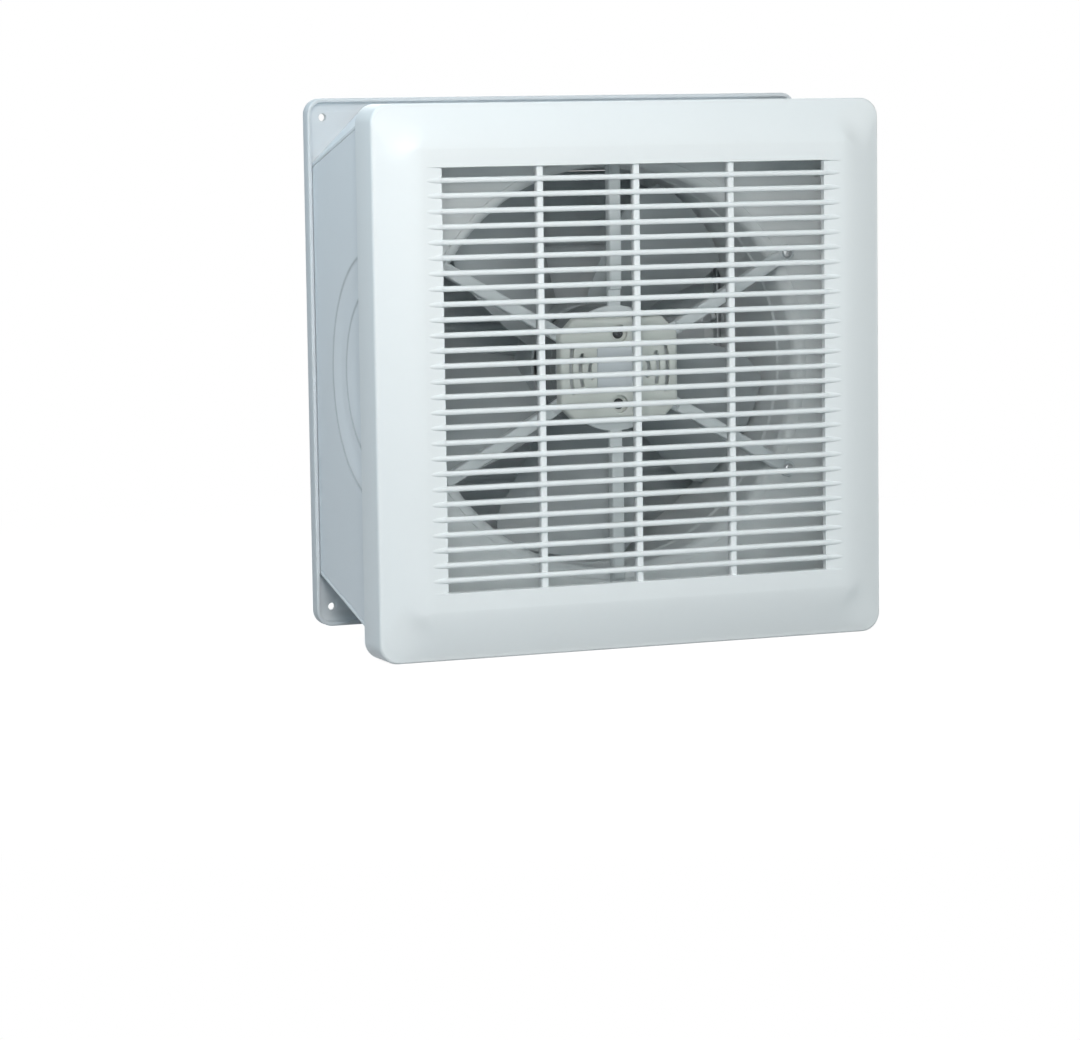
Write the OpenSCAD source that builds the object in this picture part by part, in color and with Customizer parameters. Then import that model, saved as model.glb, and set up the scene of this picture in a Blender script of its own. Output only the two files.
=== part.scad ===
// Window exhaust fan, 300 mm class: a square casing that goes through a window or
// wall cut-out, a pull-off louvred front, and gravity flaps on the outlet side.
// The back face of the rear plate is the plane y = 0, and the room side is -Y.
// Depths are written as distances forward of that plane, so a depth d is y = -d.

/* [Rear plate] */
// Width of the rear plate
plate_w = 400; // [392:1:480]
// Height of the rear plate
plate_h = 394; // [388:1:470]
// Depth of the plate's rim
plate_d = 11; // [8:0.5:16]
// Thickness of the plate's floor
plate_floor = 4; // [3.5:0.5:6]
// Thickness of the plate's rim
plate_rim = 3; // [2:0.5:5]
// Radius of the plate's corners
plate_corner_r = 12; // [6:1:20]
// Distance of a fixing hole from the plate's two edges
fixing_inset = 14; // [11:0.5:18]
// Diameter of a fixing hole
fixing_d = 5.5; // [4:0.5:8]

/* [Casing] */
// Wall of the casing
case_wall = 3; // [2:0.5:4]
// Distance of the casing's front rim from the wall face
case_front = 132; // [128:1:140]
// Corner cut at the rear plate
cut_rear = 36; // [28:1:44]
// Corner cut behind the front panel
cut_front = 5; // [3:0.5:10]
// Height of the rear plate's centre above the fan axis
axis_drop = 4; // [0:0.5:6]
// Radius of the round recess in each side wall
recess_r = 88; // [60:1:100]
// Radius of the deeper part of the recess
recess_inner_r = 62; // [40:1:70]
// Depth of each step of the recess
recess_step = 1.5; // [0.5:0.25:2]

/* [Front panel] */
// Clearance between the panel's skirt and the casing's side walls
panel_play = 1; // [0.8:0.1:2]
// Clearance between the panel's skirt and the casing's top
panel_top_play = 4; // [2:0.5:6]
// Distance of the panel's rear edge from the wall face
skirt_rear = 117; // [115:1:124]
// Distance of the panel's side edge from the wall face
panel_edge = 147; // [142:1:156]
// Rise of the panel's face from its edge to the opening
panel_rise = 16; // [8:1:18]
// Wall of the front panel
panel_wall = 2.6; // [2:0.2:3]
// Radius of the panel's corners
panel_corner_r = 14; // [8:1:20]
// Width of the air opening
open_w = 301; // [260:1:320]
// Height of the opening's centre above the panel's centre
open_rise = 2.5; // [0:0.5:5]
// Width of the bevelled band beside the opening
bevel_w = 13; // [8:1:16]
// Depth of that band at the opening
bevel_d = 2.4; // [1:0.2:4]
// Number of horizontal slats
slat_count = 27; // [20:1:30]
// Distance from slat to slat
slat_pitch = 11; // [9:0.25:11]
// Thickness of a slat
slat_t = 4; // [3:0.5:5]
// Depth of a slat
slat_d = 8; // [6:0.5:10]
// Number of upright bars
bar_count = 3; // [1:1:5]
// Width of an upright bar
bar_w = 5; // [3:0.5:8]
// How far the bars lie behind the face of the slats
bar_setback = 3; // [1:0.5:4]
// Radius of a grille post
post_r = 3.5; // [3:0.25:4]

/* [Air duct] */
// Distance of the inlet deck's face from the wall face
deck_front = 113; // [110:1:116]
// Thickness of the inlet deck
deck_t = 3; // [2:0.5:4]
// Radius of the bell mouth's throat
throat_r = 148.5; // [120:0.5:149]
// Length of the bell mouth
bell_l = 31; // [20:1:32]
// Radius of the rounded inlet edge
bell_round = 9; // [4:0.5:10]
// Height of the bead at the throat's rear edge
bell_bead = 1.2; // [0.4:0.2:1.6]
// Wall of the duct
duct_wall = 3; // [2:0.5:4]
// Step from the throat to the duct behind it
duct_step = 1.5; // [0.5:0.5:2]
// Width of the duct's flanges
duct_flange = 9; // [7:0.5:12]

/* [Shutter] */
// Inside width and height of the square sleeve
sleeve_in = 302; // [302:1:308]
// Wall of the sleeve
sleeve_wall = 4; // [3:0.5:5]
// Length of the sleeve behind the wall face
sleeve_l = 46; // [42:1:60]
// Number of gravity flaps
flap_count = 5; // [5:1:5]
// Distance from flap to flap
flap_pitch = 57.5; // [46:0.5:57.5]
// Distance of the flap hinges behind the wall face
hinge_back = 24; // [24:0.5:28]
// Thickness of a flap
flap_t = 1.5; // [1:0.25:2]
// Radius of a flap's barrel
barrel_r = 3; // [2.5:0.25:3.5]
// Radius of a flap's hinge pin
pin_r = 2; // [1.5:0.25:2.25]
// Length of a flap's crank
crank_l = 16; // [15:0.5:17]
// Upward tilt of the crank
crank_tilt = 10; // [0:1:15]
// Radius of a crank pin
crank_pin_r = 1.5; // [1.25:0.25:2]

/* [Motor and impeller] */
// Clearance between the impeller and the throat
tip_gap = 2.5; // [2:0.25:12]
// Number of impeller blades
blade_count = 5; // [3:1:6]
// Angle of the first blade
blade_start = 54; // [0:1:72]
// Thickness of a blade
blade_t = 2.6; // [2:0.2:4]
// Radius of the impeller hub
hub_r = 45; // [40:0.5:46]
// Radius of the motor's body
motor_r = 46; // [38:0.5:48]
// Length of the motor's body behind the spider
motor_l = 39; // [36:1:42]
// Radius of the shaft
shaft_r = 4; // [3:0.5:5]
// Outside radius of a bearing
bearing_r = 9; // [8:0.5:10]
// Width of a spider arm
arm_w = 10; // [8:0.5:14]
// Depth of a spider arm
arm_d = 7; // [5:0.5:9]
// Radius of the spider's hub plate
spider_r = 46.5; // [44:0.5:48]
// Width of the motor cover
cover_w = 94; // [84:1:96]
// Height of the motor cover
cover_h = 76; // [68:1:78]
// Depth of the motor cover in front of the hub plate
cover_d = 8; // [6:0.5:10]

/* [Electrical parts] */
// Width of the terminal box
box_w = 55; // [45:1:60]
// Height of the terminal box
box_h = 40; // [34:1:42]
// Depth of the terminal box
box_d = 45; // [40:1:50]
// Wall of the terminal box
box_wall = 2.5; // [2:0.5:3]
// Radius of the capacitor
capacitor_r = 15; // [12:0.5:16]
// Length of the capacitor
capacitor_l = 50; // [40:1:55]
// Radius of the cable passage
cable_r = 3.75; // [3:0.25:4.5]
// Radius of the motor lead
lead_r = 2.5; // [2:0.25:3]

/* [Hidden] */
$fn = 64;
// Clearance between pieces that are seated in each other
gap = 0.3;
// Radial clearance of a running or seated shaft
run = 0.04;
// Radial clearance of a flap's pins
pin_gap = 0.1;
// Overrun of a cut past the face that it opens
over = 1;

// Colours
white = [0.9, 0.92, 0.93];
pale_grey = [0.78, 0.81, 0.82];
cream = [0.82, 0.83, 0.78];
mid_grey = [0.55, 0.57, 0.58];
steel = [0.66, 0.67, 0.68];
copper = [0.72, 0.42, 0.22];
brass = [0.78, 0.66, 0.34];
black = [0.1, 0.1, 0.1];

// Heights of the three centres
axis_z = -axis_drop;
panel_z = -2 * axis_drop;

// Casing, seated inside the plate's rim
seat_gap = 0.6;
case_w = plate_w - 2 * (plate_rim + seat_gap);
case_h = plate_h - 2 * (plate_rim + seat_gap + axis_drop);
case_rear = plate_floor;
cut_slope = (cut_rear - cut_front) / (case_front - 12 - plate_d);
cut_turn = atan(cut_slope / sqrt(2));
recess_d = case_front + 5;
recess_z = 2;
pad_t = 2 * recess_step;

// Front panel, which fits over the casing
panel_w = case_w + 2 * (panel_wall + panel_play);
panel_h = case_h + 2 * (panel_wall + axis_drop + panel_top_play);
face = panel_edge + panel_rise;
open_h = (slat_count + 1) * slat_pitch - slat_t;
open_z = panel_z + open_rise;
bar_pitch = open_w / (bar_count + 1);
bar_d = slat_d - 2;
post_inset = 26;
post_x = panel_w / 2 - post_inset;
post_z = panel_h / 2 - post_inset;
post_rear = deck_front + 7;
edge_drop = 4;
hull_fn = 32;

// Duct and the impeller's tips
tip_r = throat_r - tip_gap;
duct_r = throat_r + duct_step;
duct_front = deck_front - bell_l;
collar_r = throat_r + duct_wall + bell_round - 3;
collar_out = 2;
flange_t = 3;
frame_front = plate_floor + flange_t;
flange_screw_r = duct_r + duct_wall + duct_flange / 2;
frame_flange = sleeve_in + 28;

// Deck and its seats
deck_w = case_w - 2 * (case_wall + pad_t) - 1;
bracket_w = 18;
bracket_h = 14;
bracket_l = 30;
bracket_x = case_w / 2 - case_wall - bracket_w / 2;
bracket_z = case_h / 2 - 34;
screw_r = 2;
screw_head_r = 4;
screw_head_t = 2.4;

// Seats of the casing on the plate
boss_w = 16;
boss_h = 12;
boss_l = 16;
boss_x = 148;
boss_z = case_h / 2 - case_wall - boss_h / 2;
recess_screw_d = 2.2;

// Gasket on the back face
gasket_in = sleeve_in + 2 * sleeve_wall + 8;
gasket_w = 12;
gasket_t = 1.6;

// Spider and motor
arm_angles = [for (i = [0:5]) 30 + 60 * i];
hub_t = 4;
foot_out = 5;
foot_r = collar_r + foot_out;
arm_end = foot_r + 6;
arm_high_start = cover_w / 2 + 11;
window_r = 5.5;
window_ring = 33;
motor_front = deck_front;
motor_rear = motor_front - motor_l;
can_wall = 1.5;
bearing_l = 8;
boss_outer_r = bearing_r + 3;
can_boss_l = 8;
motor_ear_r = motor_r + 6;
ear_angles = [30, 150, 210, 330];
ear_w = 10;
core_l = 18;
core_mid = (motor_front + motor_rear) / 2;
rotor_r = 25;
core_bore_r = rotor_r + 0.5;
winding_l = 7;
cover_corner = 12;
cover_front = deck_front + hub_t + cover_d;
cover_wall = 2;
cover_screw_z = 26;
well_r = 6.5;
well_wall = 2;
label_w = 36;
label_h = 32;
label_t = 1;

// Impeller, from its rear end forward
shaft_rear = 16;
nut_rear = 14;
nut_l = 10;
washer_t = 2;
hub_rear = nut_rear + nut_l + washer_t;
hub_l = 36;
hub_wall = 2.5;
hub_face_t = 3;
hub_boss_r = 10;
hub_boss_l = 32;
blade_mid = hub_rear + 18;
blade_root_r = hub_r - 1.2;
blade_root_chord = 60;
blade_tip_chord = 124;
blade_root_pitch = 38;
blade_tip_pitch = 20;
blade_camber = 5;
blade_sweep = 12;
blade_stations = 8;
blade_points = 8;

// Shutter
sleeve_out = sleeve_in + 2 * sleeve_wall;
hinge_top = 140;
flap_l = flap_pitch - barrel_r - 1;
flap_left = sleeve_in / 2 - 1;
flap_right = 137;
lap_l = 3.5;
lap_y = hinge_back + barrel_r + gap;
crank_w = 5;
crank_t = 3.5;
crank_right = flap_right + 0.5;
link_gap = 0.8;
link_t = 3.5;
link_w = 7;
link_left = crank_right + link_gap;
crank_y = hinge_back - crank_l * cos(crank_tilt);
crank_z = crank_l * sin(crank_tilt);
crank_pin_end = link_left + link_t + link_gap;
crank_head_t = 1.4;
pin_end = sleeve_in / 2 + sleeve_wall - 0.5;
lip_y = hinge_back - 4;
lip_d = 5;
guard_t = 2;

// Electrical parts
box_x = 132.5;
box_rear = 40;
box_front = box_rear + box_d;
box_bottom = axis_z - case_h / 2 + case_wall + gap;
lid_t = 2;
block_w = 38;
block_h = 18;
block_d = 16;
block_x = box_x;
block_z = box_bottom + box_wall + 12;
block_rear = box_rear + box_wall + gap;
terminal_count = 3;
terminal_pitch = 11;
grommet_d = box_rear + box_d / 2;
grommet_neck_r = 6;
grommet_rim_r = 8.5;
grommet_rim_t = 1.8;
entry_w = 24;
grommet_bottom = axis_z - case_h / 2 - grommet_rim_t;
grommet_top = box_bottom + box_wall + grommet_rim_t;
capacitor_x = -130;
capacitor_z = axis_z - case_h / 2 + case_wall + 8 + capacitor_r;
capacitor_rear = 45;
clip_w = 12;
clip_t = 1.5;
lead_d = deck_front - 10;
lead_angle = -30;
lead_bend_r = 165;
lead_bend_x = lead_bend_r * cos(lead_angle);
lead_bend_z = axis_z + lead_bend_r * sin(lead_angle);
lead_low_d = grommet_d;
lead_low_z = lead_bend_z - 36;
lead_hole_r = lead_r + 0.7;

// ---- Shared shapes ----

// A block centred on x = 0 and z = mid_z, from depth d0 to depth d1
module slab(w, h, d0, d1, mid_z = 0, mid_x = 0) {
    translate([mid_x - w / 2, -d1, mid_z - h / 2])
        cube([w, d1 - d0, h]);
}

// A flat outline in X and Z, extruded from depth d0 to depth d1
module plate_of(d0, d1, mid_z = 0) {
    translate([0, -d0, mid_z])
        rotate([90, 0, 0])
            linear_extrude(height = d1 - d0)
                children();
}

module rounded_outline(w, h, r) {
    square([w - 2 * r, h], center = true);
    square([w, h - 2 * r], center = true);
    for (sx = [-1, 1])
        for (sz = [-1, 1])
            translate([sx * (w / 2 - r), sz * (h / 2 - r)])
                circle(r);
}

// A rod along Y at (x, z), from depth d0 to depth d1
module rod(r, d0, d1, x = 0, z = 0) {
    translate([x, -d0, z])
        rotate([90, 0, 0])
            cylinder(r = r, h = d1 - d0);
}

// A rod along X at (y, z), from x0 to x1
module cross_rod(r, x0, x1, y, z) {
    translate([x0, y, z])
        rotate([0, 90, 0])
            cylinder(r = r, h = x1 - x0);
}

// A ring round the fan axis
module axis_ring(r_out, r_in, d0, d1) {
    difference() {
        rod(r_out, d0, d1, 0, axis_z);
        rod(r_in, d0 - over, d1 + over, 0, axis_z);
    }
}

// Turns what lies on +X to an angle round the fan axis, as seen from the room
module at_angle(a) {
    translate([0, 0, axis_z])
        rotate([0, -a, 0])
            children();
}

// A screw whose head lies towards the room and starts at depth d
module screw(x, z, d, l) {
    rod(screw_r, d - l, d, x, z);
    rod(screw_head_r, d, d + screw_head_t, x, z);
}

// ---- Casing parts ----

// One corner of the casing is cut by this block, moved in by inset
module corner_cut(sx, sz, inset) {
    reach = case_w / 2 + case_h / 2 - cut_rear - inset * sqrt(2 + cut_slope * cut_slope);
    front_reach = case_w / 2 + case_h / 2 - cut_front - inset * sqrt(2);
    for (c = [[reach, cut_turn], [front_reach, 0]])
        translate([sx * c[0] / 2, -plate_d, axis_z + sz * c[0] / 2])
            rotate([0, sz * sx * -45 + (sx < 0 ? 180 : 0), 0])
                rotate([0, 0, c[1]])
                    translate([0, -2 * case_front, -case_w / 2])
                        cube([case_w, 4 * case_front, case_w]);
}

// The casing's outer form, moved in by inset, from depth d0 to depth d1
module casing_form(inset, d0, d1) {
    difference() {
        slab(case_w - 2 * inset, case_h - 2 * inset, d0, d1, axis_z);
        for (sx = [-1, 1])
            for (sz = [-1, 1])
                corner_cut(sx, sz, inset);
    }
}

// A disc of the side wall's recess, from x0 inward, on the side sx
module recess_disc(sx, r, x0, t) {
    intersection() {
        cross_rod(r, sx > 0 ? x0 - t : -x0, sx > 0 ? x0 : -x0 + t, -recess_d, axis_z + recess_z);
        slab(2 * case_w, case_h, case_rear, case_front, axis_z);
    }
}

module casing_shell() color(white) {
    side = case_w / 2;
    difference() {
        union() {
            difference() {
                casing_form(0, case_rear, case_front);
                casing_form(case_wall, case_rear - over, case_front + over);
            }
            for (sx = [-1, 1])
                recess_disc(sx, recess_r + case_wall, side - case_wall / 2, pad_t + case_wall / 2);
            for (sx = [-1, 1])
                for (sz = [-1, 1]) {
                    deck_bracket(sx, sz);
                    plate_boss(sx, sz);
                }
        }
        for (sx = [-1, 1]) {
            recess_disc(sx, recess_r, side + over, recess_step + over);
            recess_disc(sx, recess_inner_r, side + over, 2 * recess_step + over);
            for (sz = [-1, 1]) {
                rod(screw_r + run, deck_front - deck_t - bracket_l / 2, deck_front,
                    sx * bracket_x, axis_z + sz * bracket_z);
                rod(screw_r + run, case_rear - over, case_rear + boss_l - 3,
                    sx * boss_x, axis_z + sz * boss_z);
            }
        }
        entry_block(gap, over);
    }
}

// The square window in the casing's floor, and the nose of the terminal box that fills it
module entry_block(play, reach) {
    w = entry_w + 2 * play;
    translate([box_x - w / 2, -grommet_d - w / 2, axis_z - case_h / 2 - reach])
        cube([w, w, case_wall + gap + box_wall / 2 + reach]);
}

// A seat for the inlet deck on a side wall
module deck_bracket(sx, sz) {
    slab(bracket_w + case_wall / 2, bracket_h, deck_front - deck_t - bracket_l, deck_front - deck_t,
         axis_z + sz * bracket_z, sx * (bracket_x + case_wall / 4));
}

// A seat for a screw that comes through the rear plate
module plate_boss(sx, sz) {
    slab(boss_w, boss_h + case_wall / 2, case_rear, case_rear + boss_l,
         axis_z + sz * (boss_z + case_wall / 4), sx * boss_x);
}

module grommet_hole() {
    translate([box_x, -grommet_d, grommet_bottom - over])
        cylinder(r = grommet_neck_r + gap / 2, h = grommet_top - grommet_bottom + 2 * over);
}

module rear_plate() color(pale_grey) {
    difference() {
        plate_of(0, plate_d)
            rounded_outline(plate_w, plate_h, plate_corner_r);
        plate_of(plate_floor, plate_d + over)
            rounded_outline(plate_w - 2 * plate_rim, plate_h - 2 * plate_rim,
                            plate_corner_r - plate_rim);
        slab(sleeve_out + 2 * gap, sleeve_out + 2 * gap, -over, plate_floor + over, axis_z);
        for (sx = [-1, 1])
            for (sz = [-1, 1]) {
                rod(fixing_d / 2, -over, plate_floor + over,
                    sx * (plate_w / 2 - fixing_inset), sz * (plate_h / 2 - fixing_inset));
                rod(screw_r + run, -over, plate_floor + over,
                    sx * boss_x, axis_z + sz * boss_z);
                rod(screw_head_r + gap, -over, recess_screw_d,
                    sx * boss_x, axis_z + sz * boss_z);
            }
        for (a = [45:90:315])
            at_angle(a)
                rod(screw_r + run, gasket_t + 1, plate_floor + over, flange_screw_r, 0);
        gasket_groove(gap / 2, -over);
    }
}

module gasket_groove(play, d0) {
    difference() {
        slab(gasket_in + 2 * gasket_w + 2 * play, gasket_in + 2 * gasket_w + 2 * play,
             d0, gasket_t, axis_z);
        slab(gasket_in - 2 * play, gasket_in - 2 * play, d0 - over, gasket_t + over, axis_z);
    }
}

module window_gasket() color(black)
    gasket_groove(0, 0);

// ---- Duct parts ----

module inlet_deck() color(pale_grey) {
    difference() {
        intersection() {
            casing_form(case_wall + gap, deck_front - deck_t, deck_front);
            slab(deck_w, case_h, deck_front - deck_t, deck_front, axis_z);
        }
        rod(collar_r + gap / 2, 0, case_front, 0, axis_z);
        for (sx = [-1, 1])
            for (sz = [-1, 1])
                rod(screw_r + run, 0, case_front, sx * bracket_x, axis_z + sz * bracket_z);
        for (a = arm_angles)
            at_angle(a)
                rod(screw_r + run, 0, case_front, foot_r, 0);
    }
}

// The throat with its rounded inlet edge and the flange behind the deck
module bell_mouth() color(pale_grey) {
    difference() {
        translate([0, 0, axis_z])
            rotate([90, 0, 0])
                rotate_extrude($fn = 128)
                    bell_profile();
        at_angle(lead_angle)
            cross_rod(lead_hole_r, throat_r - 2 * duct_wall, collar_r + 2 * duct_flange, -lead_d, 0);
    }
}

module bell_profile() {
    round_points = 6;
    polygon(concat(
        [[throat_r - bell_bead, duct_front], [throat_r - bell_bead, duct_front + bell_bead],
         [throat_r, duct_front + 3 * bell_bead]],
        [for (i = [0:round_points])
            [throat_r + bell_round * (1 - cos(90 * i / round_points)),
             deck_front - bell_round + bell_round * sin(90 * i / round_points)]],
        [[collar_r, deck_front], [collar_r, deck_front - deck_t - gap],
         [collar_r + collar_out, deck_front - deck_t - gap],
         [collar_r + collar_out, deck_front - deck_t - flange_t],
         [throat_r + duct_wall, deck_front - bell_round - duct_wall],
         [throat_r + duct_wall, duct_front]]
    ));
}

module duct_ring() color(pale_grey) {
    difference() {
        union() {
            axis_ring(duct_r + duct_wall, duct_r, frame_front, duct_front);
            axis_ring(duct_r + duct_wall + duct_flange, duct_r, frame_front, frame_front + flange_t);
        }
        for (a = [45:90:315])
            at_angle(a)
                rod(screw_r + run, 0, frame_front + flange_t + over, flange_screw_r, 0);
    }
}

// ---- Outlet shutter ----

module shutter_frame() color(pale_grey) {
    half = sleeve_in / 2;
    difference() {
        union() {
            slab(frame_flange, frame_flange, plate_floor, frame_front, axis_z);
            slab(sleeve_out, sleeve_out, -sleeve_l, plate_floor + over, axis_z);
        }
        slab(sleeve_in, sleeve_in, -sleeve_l - over, plate_floor, axis_z);
        rod(duct_r, plate_floor - over, frame_front + over, 0, axis_z);
        for (a = [45:90:315])
            at_angle(a)
                rod(screw_r + run, 0, frame_front + over, flange_screw_r, 0);
        for (i = [1:flap_count])
            cross_rod(pin_r + pin_gap, -half - sleeve_wall - over, half + sleeve_wall + over,
                      hinge_back, flap_z(i));
    }
    // Lip that closes the gap above the first flap, and sill behind the last one
    lip_z = hinge_top + barrel_r + gap;
    translate([-half, lip_y, axis_z + lip_z])
        cube([half + flap_right - 8, lip_d, half - lip_z + 0.5]);
    translate([-half, lip_y, axis_z - half - 0.5])
        cube([half + flap_right - 8, lip_d, sill_h()]);
    // Strip that closes the outlet behind the cranks and the link bar
    guard_left = flap_right + 2 * gap;
    translate([guard_left, hinge_back + barrel_r, axis_z - half - 0.5])
        cube([half - guard_left + 0.5, guard_t, sleeve_in + 1]);
}

function flap_z(i) = axis_z + hinge_top - (i - 1) * flap_pitch;
function flap_bottom(i) = flap_z(i) - flap_l;
function sill_h() = flap_bottom(flap_count) + 2.5 - (axis_z - sleeve_in / 2 - 0.5);

module shutter_flap(i) color(mid_grey) {
    z = flap_z(i);
    top_y = hinge_back + barrel_r - flap_t - 0.4;
    translate([-flap_left, top_y, z - flap_l])
        cube([flap_left + flap_right, flap_t, flap_l]);
    // Stepped lower edge that laps over the next flap's barrel
    translate([-flap_left, top_y, z - flap_l])
        cube([flap_left + flap_right, lap_y - top_y + flap_t, flap_t]);
    translate([-flap_left, lap_y, z - flap_l - lap_l])
        cube([flap_left + flap_right, flap_t, lap_l + flap_t]);
    cross_rod(barrel_r, -flap_left, flap_right, hinge_back, z);
    cross_rod(pin_r, -pin_end, -flap_left + over, hinge_back, z);
    cross_rod(pin_r, flap_right - over, pin_end, hinge_back, z);
    // Crank that the link bar holds
    translate([crank_right - crank_t, hinge_back, z])
        rotate([-crank_tilt, 0, 0])
            translate([0, -crank_l, -crank_w / 2])
                cube([crank_t, crank_l, crank_w]);
    cross_rod(crank_w / 2 + 0.5, crank_right - crank_t, crank_right, crank_y, z + crank_z);
    cross_rod(crank_pin_r, crank_right - over, crank_pin_end, crank_y, z + crank_z);
    cross_rod(crank_pin_r + 1.1, crank_pin_end, crank_pin_end + crank_head_t, crank_y, z + crank_z);
}

module shutter_link() color(steel) {
    z_low = flap_z(flap_count) + crank_z;
    z_high = flap_z(1) + crank_z;
    difference() {
        union() {
            translate([link_left, crank_y - link_w / 2, z_low])
                cube([link_t, link_w, z_high - z_low]);
            for (z = [z_low, z_high])
                cross_rod(link_w / 2, link_left, link_left + link_t, crank_y, z);
        }
        for (i = [1:flap_count])
            cross_rod(crank_pin_r + (i == 1 ? pin_gap : gap), link_left - over,
                      link_left + link_t + over, crank_y, flap_z(i) + crank_z);
    }
}

// ---- Spider and motor ----

module motor_spider() color(white) {
    difference() {
        union() {
            rod(spider_r, deck_front, deck_front + hub_t, 0, axis_z);
            rod(boss_outer_r, deck_front - 4, deck_front, 0, axis_z);
            for (a = arm_angles)
                at_angle(a) {
                    translate([boss_outer_r, -deck_front - hub_t, -arm_w / 2])
                        cube([arm_end - boss_outer_r, hub_t, arm_w]);
                    translate([arm_high_start, -deck_front - arm_d, -arm_w / 2])
                        cube([foot_r - screw_head_r - 1 - arm_high_start, arm_d, arm_w]);
                    rod(arm_w / 2 + 1, deck_front, deck_front + hub_t, foot_r, 0);
                }
        }
        rod(bearing_r + run, deck_front - 5, deck_front + 3, 0, axis_z);
        rod(shaft_r + gap, 0, face, 0, axis_z);
        for (a = arm_angles)
            at_angle(a)
                rod(screw_r + run, 0, face, foot_r, 0);
        for (a = [45:90:315])
            at_angle(a)
                rod(window_r, 0, face, window_ring, 0);
        for (a = ear_angles)
            at_angle(a)
                rod(screw_r + run, deck_front - 5, deck_front + 3, motor_ear_r, 0);
        for (sz = [-1, 1])
            rod(screw_r + run, deck_front + 0.5, face, 0, axis_z + sz * cover_screw_z);
    }
}

module cover_outline(inset) {
    w = cover_w / 2 - inset;
    h = cover_h / 2 - inset;
    c = cover_corner - inset * 0.6;
    polygon([[w, c - h], [w, h - c], [w - c, h], [c - w, h], [-w, h - c], [-w, c - h],
             [c - w, -h], [w - c, -h]]);
}

module motor_cover() color(cream) {
    rear = deck_front + hub_t;
    vent_x = [38, 30.5, 23];
    vent_l = [36, 25, 15];
    vent_w = 2.6;
    difference() {
        union() {
            difference() {
                plate_of(rear, cover_front, axis_z)
                    cover_outline(0);
                plate_of(rear - over, cover_front - cover_wall, axis_z)
                    cover_outline(cover_wall);
            }
            slab(label_w, label_h, cover_front - over, cover_front + label_t, axis_z);
            for (sz = [-1, 1])
                rod(well_r + well_wall, rear, cover_front, 0, axis_z + sz * cover_screw_z);
        }
        for (sx = [-1, 1])
            for (i = [0:2])
                slab(vent_w, vent_l[i], rear + over, face, axis_z, sx * vent_x[i]);
        for (sz = [-1, 1]) {
            rod(screw_r + run, 0, face, 0, axis_z + sz * cover_screw_z);
            rod(well_r, cover_front - screw_head_t - 1, face, 0,
                axis_z + sz * cover_screw_z);
        }
    }
}

module motor_can() color(steel) {
    difference() {
        union() {
            axis_ring(motor_r, motor_r - can_wall, motor_rear, motor_front);
            axis_ring(motor_r, bearing_r, motor_rear, motor_rear + can_wall);
            axis_ring(boss_outer_r, bearing_r, motor_rear - can_boss_l, motor_rear + can_wall);
            for (a = ear_angles)
                at_angle(a)
                    translate([motor_r - can_wall / 2, -motor_front, -ear_w / 2])
                        cube([motor_ear_r + 5 - motor_r, 4, ear_w]);
        }
        rod(bearing_r + run, 0, motor_rear + 5, 0, axis_z);
        for (a = ear_angles)
            at_angle(a)
                rod(screw_r + run, motor_front - 5, motor_front + 1, motor_ear_r, 0);
        at_angle(lead_angle)
            cross_rod(lead_hole_r, motor_r - 2 * can_wall, motor_r + 2, -lead_d, 0);
    }
}

module stator_core() color(steel)
    axis_ring(motor_r - can_wall - run, core_bore_r, core_mid - core_l / 2, core_mid + core_l / 2);

module stator_winding() color(copper)
    for (s = [-1, 1])
        axis_ring(motor_r - can_wall - 3, core_bore_r + 2,
                  core_mid + s * (core_l + winding_l) / 2 - winding_l / 2,
                  core_mid + s * (core_l + winding_l) / 2 + winding_l / 2);

module front_bearing() color(brass)
    axis_ring(bearing_r, shaft_r + run, deck_front - 5, deck_front + 3);

module rear_bearing() color(brass)
    axis_ring(bearing_r, shaft_r + run, motor_rear - can_boss_l, motor_rear - can_boss_l + bearing_l);

module motor_shaft() color(steel)
    rod(shaft_r, shaft_rear, deck_front + hub_t - over, 0, axis_z);

module rotor() color(steel)
    axis_ring(rotor_r, shaft_r + run / 2, core_mid - core_l / 2 - 1, core_mid + core_l / 2 + 1);

// ---- Impeller ----

// One point of a blade: station j along the span, place s along the chord, side of the skin
function blade_point(j, s, side) =
    let (
        u = j / (blade_stations - 1),
        r = blade_root_r + (tip_r - blade_root_r) * u,
        rounding = 1 - 0.22 * pow(max(0, u - 0.72) / 0.28, 2),
        chord = (blade_root_chord + (blade_tip_chord - blade_root_chord) * pow(u, 0.8)) * rounding,
        pitch = blade_root_pitch + (blade_tip_pitch - blade_root_pitch) * u,
        skin = side * blade_t * (0.3 + 0.7 * (1 - 4 * s * s)) / 2,
        a = blade_sweep * (0.5 - u) + s * chord * cos(pitch) / r * 180 / PI,
        d = blade_mid + s * chord * sin(pitch) + blade_camber * (1 - 4 * s * s) + skin
    )
    [r * cos(a), -d, r * sin(a)];

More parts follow.
